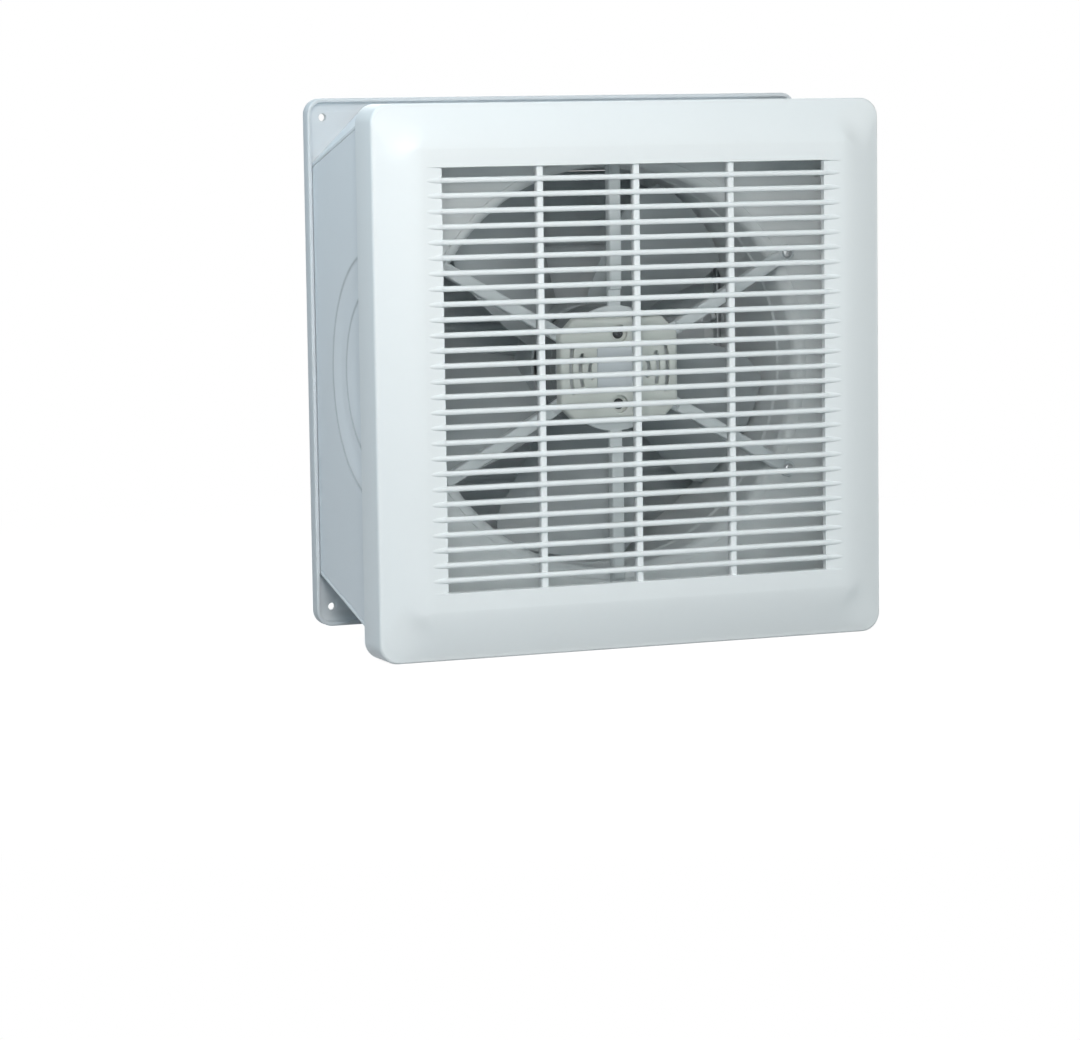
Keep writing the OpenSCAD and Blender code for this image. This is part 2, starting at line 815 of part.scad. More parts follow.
module blade() {
    m = blade_points;
    loop = 2 * m;
    points = [
        for (j = [0:blade_stations - 1])
            for (k = [0:loop - 1])
                blade_point(j, (k < m ? k / (m - 1) : (loop - 1 - k) / (m - 1)) - 0.5, k < m ? 1 : -1)
    ];
    skin_faces = [
        for (j = [0:blade_stations - 2])
            for (k = [0:loop - 1])
                for (half = [0, 1])
                    let (
                        k2 = (k + 1) % loop,
                        a = j * loop + k,
                        b = j * loop + k2,
                        c = (j + 1) * loop + k2,
                        d = (j + 1) * loop + k
                    )
                    half == 0 ? [a, b, c] : [a, c, d]
    ];
    last = (blade_stations - 1) * loop;
    root_faces = [for (k = [0:m - 2]) for (half = [0, 1])
        half == 0 ? [k, loop - 1 - k, k + 1] : [k + 1, loop - 1 - k, loop - 2 - k]];
    tip_faces = [for (f = root_faces) [last + f[0], last + f[2], last + f[1]]];
    polyhedron(points = points, faces = concat(skin_faces, root_faces, tip_faces));
}

module impeller() color(mid_grey) {
    difference() {
        union() {
            axis_ring(hub_r, hub_r - hub_wall, hub_rear, hub_rear + hub_l);
            rod(hub_r, hub_rear, hub_rear + hub_face_t, 0, axis_z);
            rod(hub_boss_r, hub_rear, hub_rear + hub_boss_l, 0, axis_z);
            for (i = [0:blade_count - 1])
                at_angle(blade_start + 360 / blade_count * i)
                    blade();
        }
        rod(shaft_r + run / 2, 0, face, 0, axis_z);
    }
}

module impeller_washer() color(steel)
    axis_ring(screw_r + 7, shaft_r + run / 2, nut_rear + nut_l, hub_rear);

module impeller_nut() color(steel)
    difference() {
        translate([0, -nut_rear, axis_z])
            rotate([90, 0, 0])
                cylinder(r = 8, h = nut_l, $fn = 6);
        rod(shaft_r + run / 2, nut_rear - over, nut_rear + nut_l + over, 0, axis_z);
    }

// ---- Electrical parts ----

module terminal_box() color(pale_grey) {
    mid_z = box_bottom + box_h / 2;
    difference() {
        union() {
            slab(box_w, box_h, box_rear, box_front, mid_z, box_x);
            entry_block(0, 0);
        }
        slab(box_w - 2 * box_wall, box_h - 2 * box_wall, box_rear + box_wall, box_front + over,
             mid_z, box_x);
        grommet_hole();
        translate([lead_bend_x, -lead_low_d, mid_z])
            cylinder(r = lead_hole_r, h = box_h);
    }
}

module terminal_lid() color(pale_grey) {
    mid_z = box_bottom + box_h / 2;
    slab(box_w, box_h, box_front, box_front + lid_t, mid_z, box_x);
    difference() {
        slab(box_w - 2 * box_wall - 2 * gap, box_h - 2 * box_wall - 2 * gap, box_front - 3,
             box_front + 0.5, mid_z, box_x);
        slab(box_w - 4 * box_wall, box_h - 4 * box_wall, box_front - 4, box_front, mid_z, box_x);
    }
}

module terminal_block() color(black)
    difference() {
        slab(block_w, block_h, block_rear, block_rear + block_d, block_z + 14, block_x - 4);
        for (i = [0:terminal_count - 1])
            rod(screw_r + run, block_rear + 5, block_rear + block_d + over,
                terminal_x(i), block_z + 14);
    }

function terminal_x(i) = block_x - 4 + (i - (terminal_count - 1) / 2) * terminal_pitch;

module terminal_screws() color(brass)
    for (i = [0:terminal_count - 1])
        screw(terminal_x(i), block_z + 14, block_rear + block_d, 9);

module cable_grommet() color(black)
    translate([box_x, -grommet_d, 0])
        difference() {
            union() {
                translate([0, 0, grommet_bottom])
                    cylinder(r = grommet_neck_r, h = grommet_top - grommet_bottom);
                translate([0, 0, grommet_bottom])
                    cylinder(r = grommet_rim_r, h = grommet_rim_t);
                translate([0, 0, grommet_top - grommet_rim_t])
                    cylinder(r = grommet_rim_r, h = grommet_rim_t);
            }
            translate([0, 0, grommet_bottom - over])
                cylinder(r = cable_r, h = grommet_top - grommet_bottom + 2 * over);
        }

module capacitor() color(pale_grey)
    rod(capacitor_r, capacitor_rear, capacitor_rear + capacitor_l, capacitor_x, capacitor_z);

module capacitor_clip() color(steel) {
    mid = capacitor_rear + capacitor_l / 2;
    floor_z = axis_z - case_h / 2 + case_wall;
    difference() {
        union() {
            rod(capacitor_r + gap / 2 + clip_t, mid - clip_w / 2, mid + clip_w / 2,
                capacitor_x, capacitor_z);
            translate([capacitor_x - 8, -mid - clip_w / 2, floor_z])
                cube([16, clip_w, capacitor_z - floor_z]);
        }
        rod(capacitor_r + gap / 2, mid - clip_w, mid + clip_w, capacitor_x, capacitor_z);
    }
}

// A straight stretch of the lead between two points, with a round end at the second
module lead_stretch(a, b, round_end = true) {
    v = b - a;
    l = norm(v);
    translate(a)
        rotate([0, acos(v[2] / l), atan2(v[1], v[0])])
            cylinder(r = lead_r, h = l, $fn = 24);
    if (round_end)
        translate(b)
            sphere(r = lead_r, $fn = 24);
}

module motor_lead() color(black) {
    start_r = motor_r - can_wall + 0.2;
    p0 = [start_r * cos(lead_angle), -lead_d, axis_z + start_r * sin(lead_angle)];
    p1 = [lead_bend_x, -lead_d, lead_bend_z];
    p2 = [lead_bend_x, -lead_low_d, lead_low_z];
    p3 = [lead_bend_x, -lead_low_d, box_bottom + box_h - box_wall - 1];
    lead_stretch(p0, p1);
    lead_stretch(p1, p2);
    lead_stretch(p2, p3, false);
}

// ---- Fasteners ----

module body_screws() color(steel)
    for (sx = [-1, 1])
        for (sz = [-1, 1]) {
            rod(screw_r, 1, case_rear + boss_l - 4, sx * boss_x, axis_z + sz * boss_z);
            rod(screw_head_r, 0, recess_screw_d, sx * boss_x, axis_z + sz * boss_z);
        }

module shutter_screws() color(steel)
    for (a = [45:90:315])
        at_angle(a)
            screw(flange_screw_r, 0, frame_front + flange_t, frame_front + flange_t - gasket_t - 1.2);

module deck_screws() color(steel)
    for (sx = [-1, 1])
        for (sz = [-1, 1])
            screw(sx * bracket_x, axis_z + sz * bracket_z, deck_front, 12);

module spider_screws() color(steel)
    for (a = arm_angles)
        at_angle(a)
            screw(foot_r, 0, deck_front + hub_t, hub_t + deck_t + 3);

module motor_screws() color(steel)
    for (a = ear_angles)
        at_angle(a) {
            rod(screw_r, motor_front - 5, motor_front + 2.6, motor_ear_r, 0);
            rod(screw_head_r, motor_front - 4 - screw_head_t, motor_front - 4, motor_ear_r, 0);
        }

module cover_screws() color(steel)
    for (sz = [-1, 1])
        screw(0, axis_z + sz * cover_screw_z, cover_front - screw_head_t - 1, 8);

// Spring clips on the deck that hold the grille's posts
module grille_clips() color(steel) {
    leaf_t = 1;
    leaf_l = 16;
    leaf_w = 12;
    for (sx = [-1, 1])
        for (sz = [-1, 1]) {
            x = sx * post_x;
            z = panel_z + sz * post_z;
            slab(2 * (post_r + gap + leaf_t), leaf_w, deck_front, deck_front + leaf_t, z, x);
            for (side = [-1, 1])
                slab(leaf_t, leaf_w, deck_front, deck_front + leaf_l, z,
                     x + side * (post_r + gap + leaf_t / 2));
        }
}

// ---- Front grille ----

// The panel's form, moved in by inset; open at the rear where inset is over 0
module panel_form(inset) {
    w = panel_w - 2 * inset;
    h = panel_h - 2 * inset;
    rear = inset > 0 ? skirt_rear - over : skirt_rear;
    band = 2 * bevel_w;
    hull() {
        plate_of(rear, panel_edge - edge_drop - inset, panel_z)
            rounded_outline(w, h, panel_corner_r - inset, $fn = hull_fn);
        plate_of(rear, panel_edge - inset, panel_z)
            rounded_outline(w - edge_drop, h - edge_drop, panel_corner_r - inset, $fn = hull_fn);
        plate_of(rear, face - inset, open_z)
            rounded_outline(open_w + band, open_h + band, 6, $fn = hull_fn);
    }
}

module front_grille() color(white) {
    half_w = open_w / 2;
    difference() {
        panel_form(0);
        panel_form(panel_wall);
        slab(open_w, open_h, skirt_rear, face + over, open_z);
        for (sx = [-1, 1])
            side_bevel(sx);
    }
    for (i = [1:slat_count]) {
        z = open_z + open_h / 2 + slat_t / 2 - i * slat_pitch;
        slab(open_w + 1, slat_t, face - slat_d, face, z);
        slab(open_w + 2 * bevel_w - 1, slat_t, face - bevel_d - 0.2, face, z);
    }
    for (i = [1:bar_count])
        slab(bar_w, open_h + 1, face - bar_setback - bar_d, face - bar_setback, open_z,
             i * bar_pitch - half_w);
    opening_lip();
    for (sx = [-1, 1])
        for (sz = [-1, 1])
            rod(post_r, post_rear, post_top(), sx * post_x, panel_z + sz * post_z);
}

// A wall that runs back from the edge of the opening, as deep as the slats
module opening_lip() {
    top = face - bevel_d - 0.3;
    difference() {
        slab(open_w + 2 * panel_wall, open_h + 2 * panel_wall, face - slat_d, top, open_z);
        slab(open_w, open_h, face - slat_d - over, face, open_z);
    }
}

// Depth at which a post is inside the panel's wall
function post_top() = min(post_rise(panel_w, open_w), post_rise(panel_h, open_h));
function post_rise(size, opening) =
    let (run_out = (size - edge_drop - opening) / 2 - bevel_w + open_rise)
    panel_edge + panel_rise * (post_inset - edge_drop / 2) / run_out - panel_wall / 2;

// The sloping band beside the opening, on the side sx
module side_bevel(sx) {
    slope = atan(bevel_d / bevel_w);
    translate([sx * (open_w / 2 + bevel_w), -face, open_z])
        rotate([0, 0, sx * slope])
            translate([sx > 0 ? -3 * bevel_w : 0, -4 * bevel_d, -open_h / 2])
                cube([3 * bevel_w, 4 * bevel_d, open_h]);
}

rear_plate();
window_gasket();
casing_shell();
inlet_deck();
bell_mouth();
duct_ring();
shutter_frame();
motor_spider();
motor_cover();
motor_can();
stator_core();
stator_winding();
front_bearing();
rear_bearing();
capacitor();
capacitor_clip();
terminal_box();
terminal_lid();
terminal_block();
terminal_screws();
cable_grommet();
motor_lead();
body_screws();
shutter_screws();
deck_screws();
spider_screws();
motor_screws();
cover_screws();
grille_clips();
front_grille();
motor_shaft();
rotor();
impeller();
impeller_washer();
impeller_nut();
shutter_flap(1);  // shutter_flap_1
shutter_flap(2);  // shutter_flap_2
shutter_flap(3);  // shutter_flap_3
shutter_flap(4);  // shutter_flap_4
shutter_flap(5);  // shutter_flap_5
shutter_link();
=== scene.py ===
import math

import bmesh
import bpy
from mathutils import Matrix, Vector
from mathutils.geometry import tessellate_polygon


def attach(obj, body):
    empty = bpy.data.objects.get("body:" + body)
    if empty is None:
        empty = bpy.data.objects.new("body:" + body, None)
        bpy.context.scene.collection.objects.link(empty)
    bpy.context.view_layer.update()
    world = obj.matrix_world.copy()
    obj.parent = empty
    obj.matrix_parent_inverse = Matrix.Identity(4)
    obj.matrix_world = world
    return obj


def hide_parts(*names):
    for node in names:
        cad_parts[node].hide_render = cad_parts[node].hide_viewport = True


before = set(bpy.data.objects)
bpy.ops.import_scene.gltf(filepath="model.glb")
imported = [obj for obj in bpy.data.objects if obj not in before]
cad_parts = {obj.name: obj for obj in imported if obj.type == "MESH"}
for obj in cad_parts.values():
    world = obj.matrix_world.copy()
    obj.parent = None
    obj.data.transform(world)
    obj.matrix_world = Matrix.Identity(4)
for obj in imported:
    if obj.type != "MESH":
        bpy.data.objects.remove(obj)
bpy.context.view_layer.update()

# Sizes are in millimetres. A point is (x, depth, z), and depth runs from the wall face to the room.
MM = 0.001
WELD = 1e-6          # in metres
SIDES = (1, -1)
CORNERS = [(sx, sz) for sx in SIDES for sz in SIDES]

AXIS_Z = -4.0        # height of the fan's axis
PANEL_Z = -8.0       # height of the front panel's centre
GRILLE_Z = -5.5      # height of the air opening's centre

# front grille
PANEL_HALF = 200.0
FRAME_W = 36.5       # from the panel's outline to the flat border of the opening
CORNER_R = 14.0
FACE = 163.0         # depth of the panel's face
EDGE_FALL = 12.4     # from the face to the panel's edge
EDGE_R = 2.6         # rounding of that edge
SKIRT_REAR = 117.0
OPEN_X, OPEN_Z = 150.5, 152.0
BORDER_X, BORDER_Z = 163.5, 165.0
BEVEL = 2.4          # how far the border beside the opening slopes down
LIP_D = FACE - 8.0   # rear edge of the lip round the opening
LIP_W = 2.6
SLAT_PITCH = 11.0
SLATS = 27
BARS = 3
POST = 174.0         # each way from the panel's centre to a post

# casing
CASE_X, CASE_Z = 196.4, 189.4
CASE_REAR, CASE_FRONT = 4.0, 132.0
WALL = 3.0
CUT_INSET = 1.3      # what the wall takes off a slanted corner cut on the inside
CUT_REAR, CUT_FRONT = 36.0, 5.0
CUT_START, BEND = 11.0, 120.0    # depths between which a corner cut narrows
CUT_SLOPE = (CUT_REAR - CUT_FRONT) / (BEND - CUT_START)
CREASE = 3.4         # width of the band along a corner cut, with its groove
BOX_X, BOX_D, BOX_HALF = 132.5, 62.5, 12.3       # opening for the terminal box
REC_D = 137.0        # centre of the round recess in the casing's sides
REC_Z = AXIS_Z + 2.0
GROOVES = (88.9, 63.0)
RECESS_RADII = ([6.0, 25.0, 36.0] + [44.0 + 2.0 * k for k in range(9)] + [61.6, 62.3, 63.0, 63.7, 66.0]
                + [71.0 + 2.0 * k for k in range(9)] + [88.2, 88.9, 89.6, 91.5, 95.0])

# rear plate and gasket
PLATE_X, PLATE_Z = 200.0, 197.0
FLOOR_D = 4.0        # depth of the tray's floor
PLATE_HOLE = 155.3   # half of the square hole
FIX_X, FIX_Z = 186.0, 183.0
BODY_SCREW_X, BODY_SCREW_Z = 148.0, CASE_Z - 9.0
HEAD_POCKET = 2.2
GASKET_IN, GASKET_OUT, GASKET_T = 159.0, 171.0, 1.6
GROOVE_PLAY = 0.15

# deck and air duct
DECK_BACK, DECK_FRONT = 110.0, 113.0
DECK_HOLE_R = 157.65
DECK_SCREW_X, DECK_SCREW_Z = 184.4, CASE_Z - 34.0
THROAT_R = 148.5
BELL_ROUND = 9.0
DUCT_R = 150.0
COLLAR_FRONT = 10.0  # the duct's collar lies on the shutter frame's flange

# outlet shutter
SLEEVE_IN, SLEEVE_OUT = 151.0, 155.0
FLANGE_BACK, FLANGE_FRONT = 4.0, 7.0
FLANGE_SCREW_R = 157.5
HINGE_D = -24.0
FLAP_PITCH = 57.5
HINGES = [AXIS_Z + 140.0 - FLAP_PITCH * i for i in range(5)]
CRANK_L = 16.0
CRANK_TILT = math.radians(10)

# spider, motor and cover
SPIDER_BACK, SPIDER_FRONT = 113.0, 117.0
FOOT_R = 162.5       # from the axis to the middle of a spider's foot
ARM_ANGLES = [30 + 60 * k for k in range(6)]
EAR_ANGLES = (30, 150, 210, 330)
EAR_HOLE_R = 52.0
EAR_BACK = 109.0
CAN_R = 46.0
COVER_X, COVER_Z, COVER_FRONT = 47.0, 38.0, 125.0
COVER_SCREW = 26.0
WELL_FLOOR = 121.6

# impeller
HUB_R, TIP_R = 45.0, 146.0
BLADES = 5
BLADE_MID = 44.0
BLADE_START = 54.0
BORE_R, HUB_BACK = 4.02, 26.0


# ---------------------------------------------------------------- mesh helpers

class Mesh:
    def __init__(self):
        self.verts = []
        self.faces = []

    def add(self, pts):
        start = len(self.verts)
        self.verts.extend(pts)
        return list(range(start, start + len(pts)))

    def face(self, idx):
        self.faces.append(tuple(idx))

    def bridge(self, a, b, closed=True):
        n = len(a)
        for i in range(n if closed else n - 1):
            j = (i + 1) % n
            self.face((a[i], a[j], b[j], b[i]))

    def loops(self, loops, closed=True, cyclic=False):
        """Joins loops of points one after the other; cyclic joins the last to the first."""
        ids = [self.add(loop) for loop in loops]
        for a, b in zip(ids, ids[1:]):
            self.bridge(a, b, closed)
        if cyclic:
            self.bridge(ids[-1], ids[0], closed)
        return ids

    def cap(self, rings, axes=None):
        """Fills between rings of vertex numbers, the outline first; axes are those of their plane."""
        flat = [i for ring in rings for i in ring]
        depths = [self.verts[i][1] for i in flat]
        if axes is None and max(depths) - min(depths) <= 1e-6:
            axes = (0, 2)

        def spot(i):
            v = self.verts[i]
            return Vector((v[axes[0]], v[axes[1]], 0)) if axes else Vector(v)

        for t in tessellate_polygon([[spot(i) for i in ring] for ring in rings]):
            self.face([flat[k] for k in t])

    def join(self, other):
        start = len(self.verts)
        self.verts.extend(other.verts)
        self.faces.extend(tuple(i + start for i in f) for f in other.faces)
        return self


def at(pts, d, up=0.0):
    """Puts points (x, z) at a depth."""
    return [(x, d, up + z) for x, z in pts]


def lifted(pts):
    return [(x, AXIS_Z + z) for x, z in pts]


def circle(r, n, cx, cz, hole=False):
    angles = [2 * math.pi * k / n for k in range(n)]
    pts = [(cx + r * math.cos(a), cz + r * math.sin(a)) for a in angles]
    return pts[::-1] if hole else pts


def arc(cx, cz, r, start, end, n):
    """n + 1 points on an arc, from and to an angle in degrees."""
    angles = [math.radians(start + (end - start) * k / n) for k in range(n + 1)]
    return [(cx + r * math.cos(a), cz + r * math.sin(a)) for a in angles]


def polar(r, angles):
    """Points round the fan's axis."""
    return [(r * math.cos(math.radians(a)), AXIS_Z + r * math.sin(math.radians(a))) for a in angles]


def corner_arcs(hx, hz, r, n):
    quarters = ((1, 1, 0), (-1, 1, 90), (-1, -1, 180), (1, -1, 270))
    return [arc(sx * (hx - r), sz * (hz - r), r, a, a + 90, n) for sx, sz, a in quarters]


def rounded_rect(hx, hz, r, n):
    return sum(corner_arcs(hx, hz, r, n), [])


def box_loop(x0, x1, z0, z1):
    return [(x0, z0), (x1, z0), (x1, z1), (x0, z1)]


def square(h, hole=False):
    """A square round the fan's axis, h from its middle to each side."""
    pts = lifted([(h, -h), (h, h), (-h, h), (-h, -h)])
    return pts[::-1] if hole else pts


def offset_loop(pts, o):
    """Moves a loop towards the left of its direction, into the material of a plate."""
    if o == 0:
        return list(pts)
    out = []
    for i, (x1, y1) in enumerate(pts):
        x0, y0 = pts[i - 1]
        x2, y2 = pts[(i + 1) % len(pts)]
        ax, ay = x1 - x0, y1 - y0
        bx, by = x2 - x1, y2 - y1
        la, lb = math.hypot(ax, ay) or 1, math.hypot(bx, by) or 1
        n1 = (-ay / la, ax / la)
        n2 = (-by / lb, bx / lb)
        mx, my = n1[0] + n2[0], n1[1] + n2[1]
        lm = mx * mx + my * my
        if lm < 1e-9:
            mx, my, lm = n1[0], n1[1], 1.0
        k = 2 * o / lm
        k = min(k, 2.5 * o) if o > 0 else max(k, 2.5 * o)
        out.append((x1 + mx * k, y1 + my * k))
    return out


def plate(loops, d0, d1, b, steps=3):
    """A flat plate with edges rounded by b. The outline runs anticlockwise, holes clockwise."""
    turns = [math.pi / 2 * k / steps for k in range(steps + 1)]
    curve = [(b * (1 - math.cos(a)), b * (1 - math.sin(a))) for a in turns]
    stations = [(d0 + f, o) for f, o in curve] + [(d1 - f, o) for f, o in curve[::-1]]
    m = Mesh()
    ends = [m.loops([at(offset_loop(pts, o), d) for d, o in stations]) for pts in loops]
    m.cap([ids[0] for ids in ends])
    m.cap([ids[-1] for ids in ends])
    return m


def lathe(profile, n, cx=0.0, cz=AXIS_Z, closed=True):
    """Turns a profile of (radius, depth) round an axis."""
    m = Mesh()
    m.loops([at(circle(r, n, cx, cz), d) for r, d in profile], cyclic=closed)
    return m


def prism(rings):
    """A solid through rings of points, closed at both ends."""
    m = Mesh()
    ids = m.loops(rings)
    m.face(ids[0][::-1])
    m.face(ids[-1])
    return m


def bar_x(profile, x0, x1):
    """A bar along X with a profile of (depth, z) points."""
    return prism([[(x, d, z) for d, z in profile] for x in (x0, x1)])


def bar_z(profile, z0, z1):
    """A bar along Z with a profile of (x, depth) points."""
    return prism([[(x, d, z) for x, d in profile] for z in (z0, z1)])


def rod_x(r, x0, x1, d, z, n=24, edge=0.3):
    """A round pin along X with chamfered ends."""
    steps = ((x0, r - edge), (x0 + edge, r), (x1 - edge, r), (x1, r - edge))
    return prism([[(x, pd, pz) for pd, pz in circle(q, n, d, z)] for x, q in steps])


def turned(mesh, angle):
    """Puts a mesh made along X at an angle round the fan's axis, anticlockwise seen from the room."""
    c, s = math.cos(math.radians(angle)), math.sin(math.radians(angle))
    out = Mesh()
    out.verts = [(x * c - z * s, d, AXIS_Z + x * s + z * c) for x, d, z in mesh.verts]
    out.faces = list(mesh.faces)
    return out


def smooth(t):
    t = max(0.0, min(1.0, t))
    return t * t * (3 - 2 * t)


def soften(ob, width, segments, angle):
    """Bevels an object's edges that are sharper than an angle."""
    mod = ob.modifiers.new("edges", "BEVEL")
    mod.width = width * MM
    mod.segments = segments
    mod.limit_method = "ANGLE"
    mod.angle_limit = math.radians(angle)
    mod.harden_normals = True


def piece(name, mesh, material, replaces=(), body="housing", sharp=35.0, bevel=0.0, segments=2):
    me = bpy.data.meshes.new(name)
    bm = bmesh.new()
    vs = [bm.verts.new((x * MM, -d * MM, z * MM)) for x, d, z in mesh.verts]
    for f in mesh.faces:
        try:
            bm.faces.new([vs[i] for i in f])
        except ValueError:
            pass                 # the same face twice
    bmesh.ops.remove_doubles(bm, verts=bm.verts, dist=WELD)
    bmesh.ops.dissolve_degenerate(bm, edges=bm.edges, dist=WELD / 10)
    loose = [v for v in bm.verts if not v.link_faces]
    bmesh.ops.delete(bm, geom=loose, context="VERTS")
    bmesh.ops.recalc_face_normals(bm, faces=bm.faces)
    bm.to_mesh(me)
    bm.free()
    me.polygons.foreach_set("use_smooth", [True] * len(me.polygons))
    ob = bpy.data.objects.new(name, me)
    bpy.context.scene.collection.objects.link(ob)
    if bevel:
        soften(ob, bevel, segments, sharp)
    else:
        me.set_sharp_from_angle(angle=math.radians(sharp))
    me.materials.append(material)
    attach(ob, body)
    if replaces:
        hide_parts(*replaces)
    return ob


# ---------------------------------------------------------------- materials

def srgb(r, g, b):
    def lin(v):
        v /= 255.0
        return v / 12.92 if v <= 0.04045 else ((v + 0.055) / 1.055) ** 2.4
    return (lin(r), lin(g), lin(b), 1.0)


def scaled(c, k):
    return tuple(min(1.0, v * k) for v in c[:3]) + (1.0,)


def put(nt, n, inputs):
    """Sets a node's inputs: a socket is linked, anything else is a value."""
    for key, value in inputs.items():
        if isinstance(value, bpy.types.NodeSocket):
            nt.links.new(value, n.inputs[key])
        else:
            n.inputs[key].default_value = value


def node(nt, kind, inputs=None, **settings):
    n = nt.nodes.new(kind)
    for key, value in settings.items():
        setattr(n, key, value)
    put(nt, n, inputs or {})
    return n


def maths(nt, operation, *values):
    return node(nt, "ShaderNodeMath", dict(enumerate(values)), operation=operation).outputs[0]


def vector_maths(nt, operation, *values):
    return node(nt, "ShaderNodeVectorMath", dict(enumerate(values)), operation=operation)


def spread(nt, source, low, high, start=0.0, end=1.0, **settings):
    """Maps a value from start to end onto low to high."""
    inputs = {"Value": source, "From Min": start, "From Max": end, "To Min": low, "To Max": high}
    return node(nt, "ShaderNodeMapRange", inputs, **settings).outputs["Result"]


def ramp(nt, source, low, high, ends=(0.0, 1.0)):
    n = node(nt, "ShaderNodeValToRGB", {"Fac": source})
    for element, colour, position in zip(n.color_ramp.elements, (low, high), ends):
        element.color = colour
        element.position = position
    return n.outputs["Color"]


def blend(nt, kind, fac, below, above):
    inputs = {"Fac": fac, "Color1": below, "Color2": above}
    return node(nt, "ShaderNodeMixRGB", inputs, blend_type=kind).outputs["Color"]


def noise(nt, coord, scale, detail, roughness):
    inputs = {"Vector": coord, "Scale": scale, "Detail": detail, "Roughness": roughness}
    return node(nt, "ShaderNodeTexNoise", inputs).outputs["Fac"]


def bumps(nt, height, strength, distance):
    inputs = {"Height": height, "Strength": strength, "Distance": distance}
    return node(nt, "ShaderNodeBump", inputs).outputs["Normal"]


def new_material(name):
    mat = bpy.data.materials.new(name)
    mat.use_nodes = True
    nt = mat.node_tree
    bsdf = next(n for n in nt.nodes if n.type == "BSDF_PRINCIPLED")
    return mat, nt, bsdf, node(nt, "ShaderNodeTexCoord").outputs["Object"]


def painted_groove_shade(nt, coord, colour):
    """Painted shade: darkens the colour along the two round grooves of the casing's side walls, where shade
    falls.
    """
    offset = vector_maths(nt, "SUBTRACT", coord, (0, -REC_D * MM, REC_Z * MM))
    flat = vector_maths(nt, "MULTIPLY", offset.outputs["Vector"], (0, 1, 1))
    radius = vector_maths(nt, "LENGTH", flat.outputs["Vector"]).outputs["Value"]
    for groove in GROOVES:
        distance = maths(nt, "ABSOLUTE", maths(nt, "SUBTRACT", radius, groove * MM))
        fac = spread(nt, distance, 0.42, 0.0, 0.4 * MM, 2.4 * MM)
        colour = blend(nt, "MIX", fac, colour, srgb(116, 126, 128))
    return colour


def dusted(nt, colour, amount):
    """Dust on what faces up."""
    normal = node(nt, "ShaderNodeNewGeometry").outputs["Normal"]
    up = node(nt, "ShaderNodeSeparateXYZ", {"Vector": normal}).outputs["Z"]
    return blend(nt, "MIX", spread(nt, up, 0.0, amount, 0.5, 1.0), colour, srgb(170, 166, 158))


def plastic(name, rgb, rough, grain, bump, mottling, drift, dust=0.0, coat=0.0, specular=0.45, rings=False):
    """Moulded plastic: a fine moulded grain, slow drift of the colour and fine mottling of the gloss."""
    mat, nt, bsdf, coord = new_material(name)
    colour = srgb(*rgb)
    fine = noise(nt, coord, grain, 3.0, 0.55)
    soft = noise(nt, coord, 9.0, 4.0, 0.6)
    cloud = noise(nt, coord, 55.0, 5.0, 0.65)
    base = ramp(nt, soft, scaled(colour, 1 - drift), scaled(colour, 1 + drift), (0.3, 0.7))
    tint = ramp(nt, cloud, (1 - mottling, 1 - mottling, 1 - mottling, 1), (1, 1, 1, 1))
    out = blend(nt, "MULTIPLY", 1.0, base, tint)
    if dust:
        out = dusted(nt, out, dust)
    # painted shade along the round grooves in the casing's side walls
    if rings:
        out = painted_groove_shade(nt, coord, out)
    put(nt, bsdf, {
        "Base Color": out,
        "Roughness": spread(nt, cloud, max(0.05, rough - 0.06), rough + 0.06),
        "Normal": bumps(nt, fine, bump, 0.0004),
        "Specular IOR Level": specular,
        "Coat Weight": coat,
        "Coat Roughness": 0.25,
    })
    return mat


def metal(name, rgb, rough):
    mat, nt, bsdf, coord = new_material(name)
    colour = srgb(*rgb)
    fine = noise(nt, coord, 600.0, 4.0, 0.6)
    cloud = noise(nt, coord, 60.0, 4.0, 0.6)
    put(nt, bsdf, {
        "Base Color": ramp(nt, cloud, scaled(colour, 0.88), scaled(colour, 1.06), (0.3, 0.7)),
        "Roughness": spread(nt, fine, rough - 0.08, rough + 0.1),
        "Normal": bumps(nt, fine, 0.06, 0.0003),
        "Metallic": 1.0,
    })
    return mat


def layered(name, rgb, rough, metallic, dark, light, scale, distortion, strength, distance, **wave):
    """Turns of enamelled wire or a stack of sheets: fine dark lines in a metal."""
    mat, nt, bsdf, coord = new_material(name)
    colour = srgb(*rgb)
    inputs = {"Vector": coord, "Scale": scale, "Distortion": distortion}
    lines = node(nt, "ShaderNodeTexWave", inputs, **wave).outputs["Fac"]
    put(nt, bsdf, {
        "Base Color": ramp(nt, lines, scaled(colour, dark), scaled(colour, light)),
        "Roughness": rough,
        "Normal": bumps(nt, lines, strength, distance),
        "Metallic": metallic,
    })
    return mat


# plastic: name, colour, roughness, grain, bump, mottling, drift
PANEL = plastic("panel_plastic", (240, 244, 246), 0.46, 1100, 0.03, 0.012, 0.008, coat=0.05)
# the casing's colour carries painted shade along the round grooves in its side walls
CASING = plastic("casing_plastic", (236, 240, 244), 0.5, 700, 0.07, 0.02, 0.012, dust=0.06, rings=True)
DUCT = plastic("duct_plastic", (244, 248, 249), 0.48, 800, 0.05, 0.02, 0.01, dust=0.04)
SPIDER = plastic("spider_plastic", (232, 238, 240), 0.42, 900, 0.04, 0.02, 0.01, dust=0.05)
TRAY = plastic("tray_plastic", (214, 219, 223), 0.5, 700, 0.07, 0.025, 0.015, dust=0.06)
COVER = plastic("cover_plastic", (232, 236, 231), 0.45, 800, 0.05, 0.03, 0.015, dust=0.06)
LABEL = plastic("label_plate", (220, 226, 231), 0.3, 1600, 0.02, 0.015, 0.01)
BLADE = plastic("impeller_plastic", (192, 198, 201), 0.4, 900, 0.03, 0.04, 0.02, dust=0.05, coat=0.1)
FLAP = plastic("flap_plastic", (226, 231, 234), 0.5, 800, 0.06, 0.03, 0.02, dust=0.04)
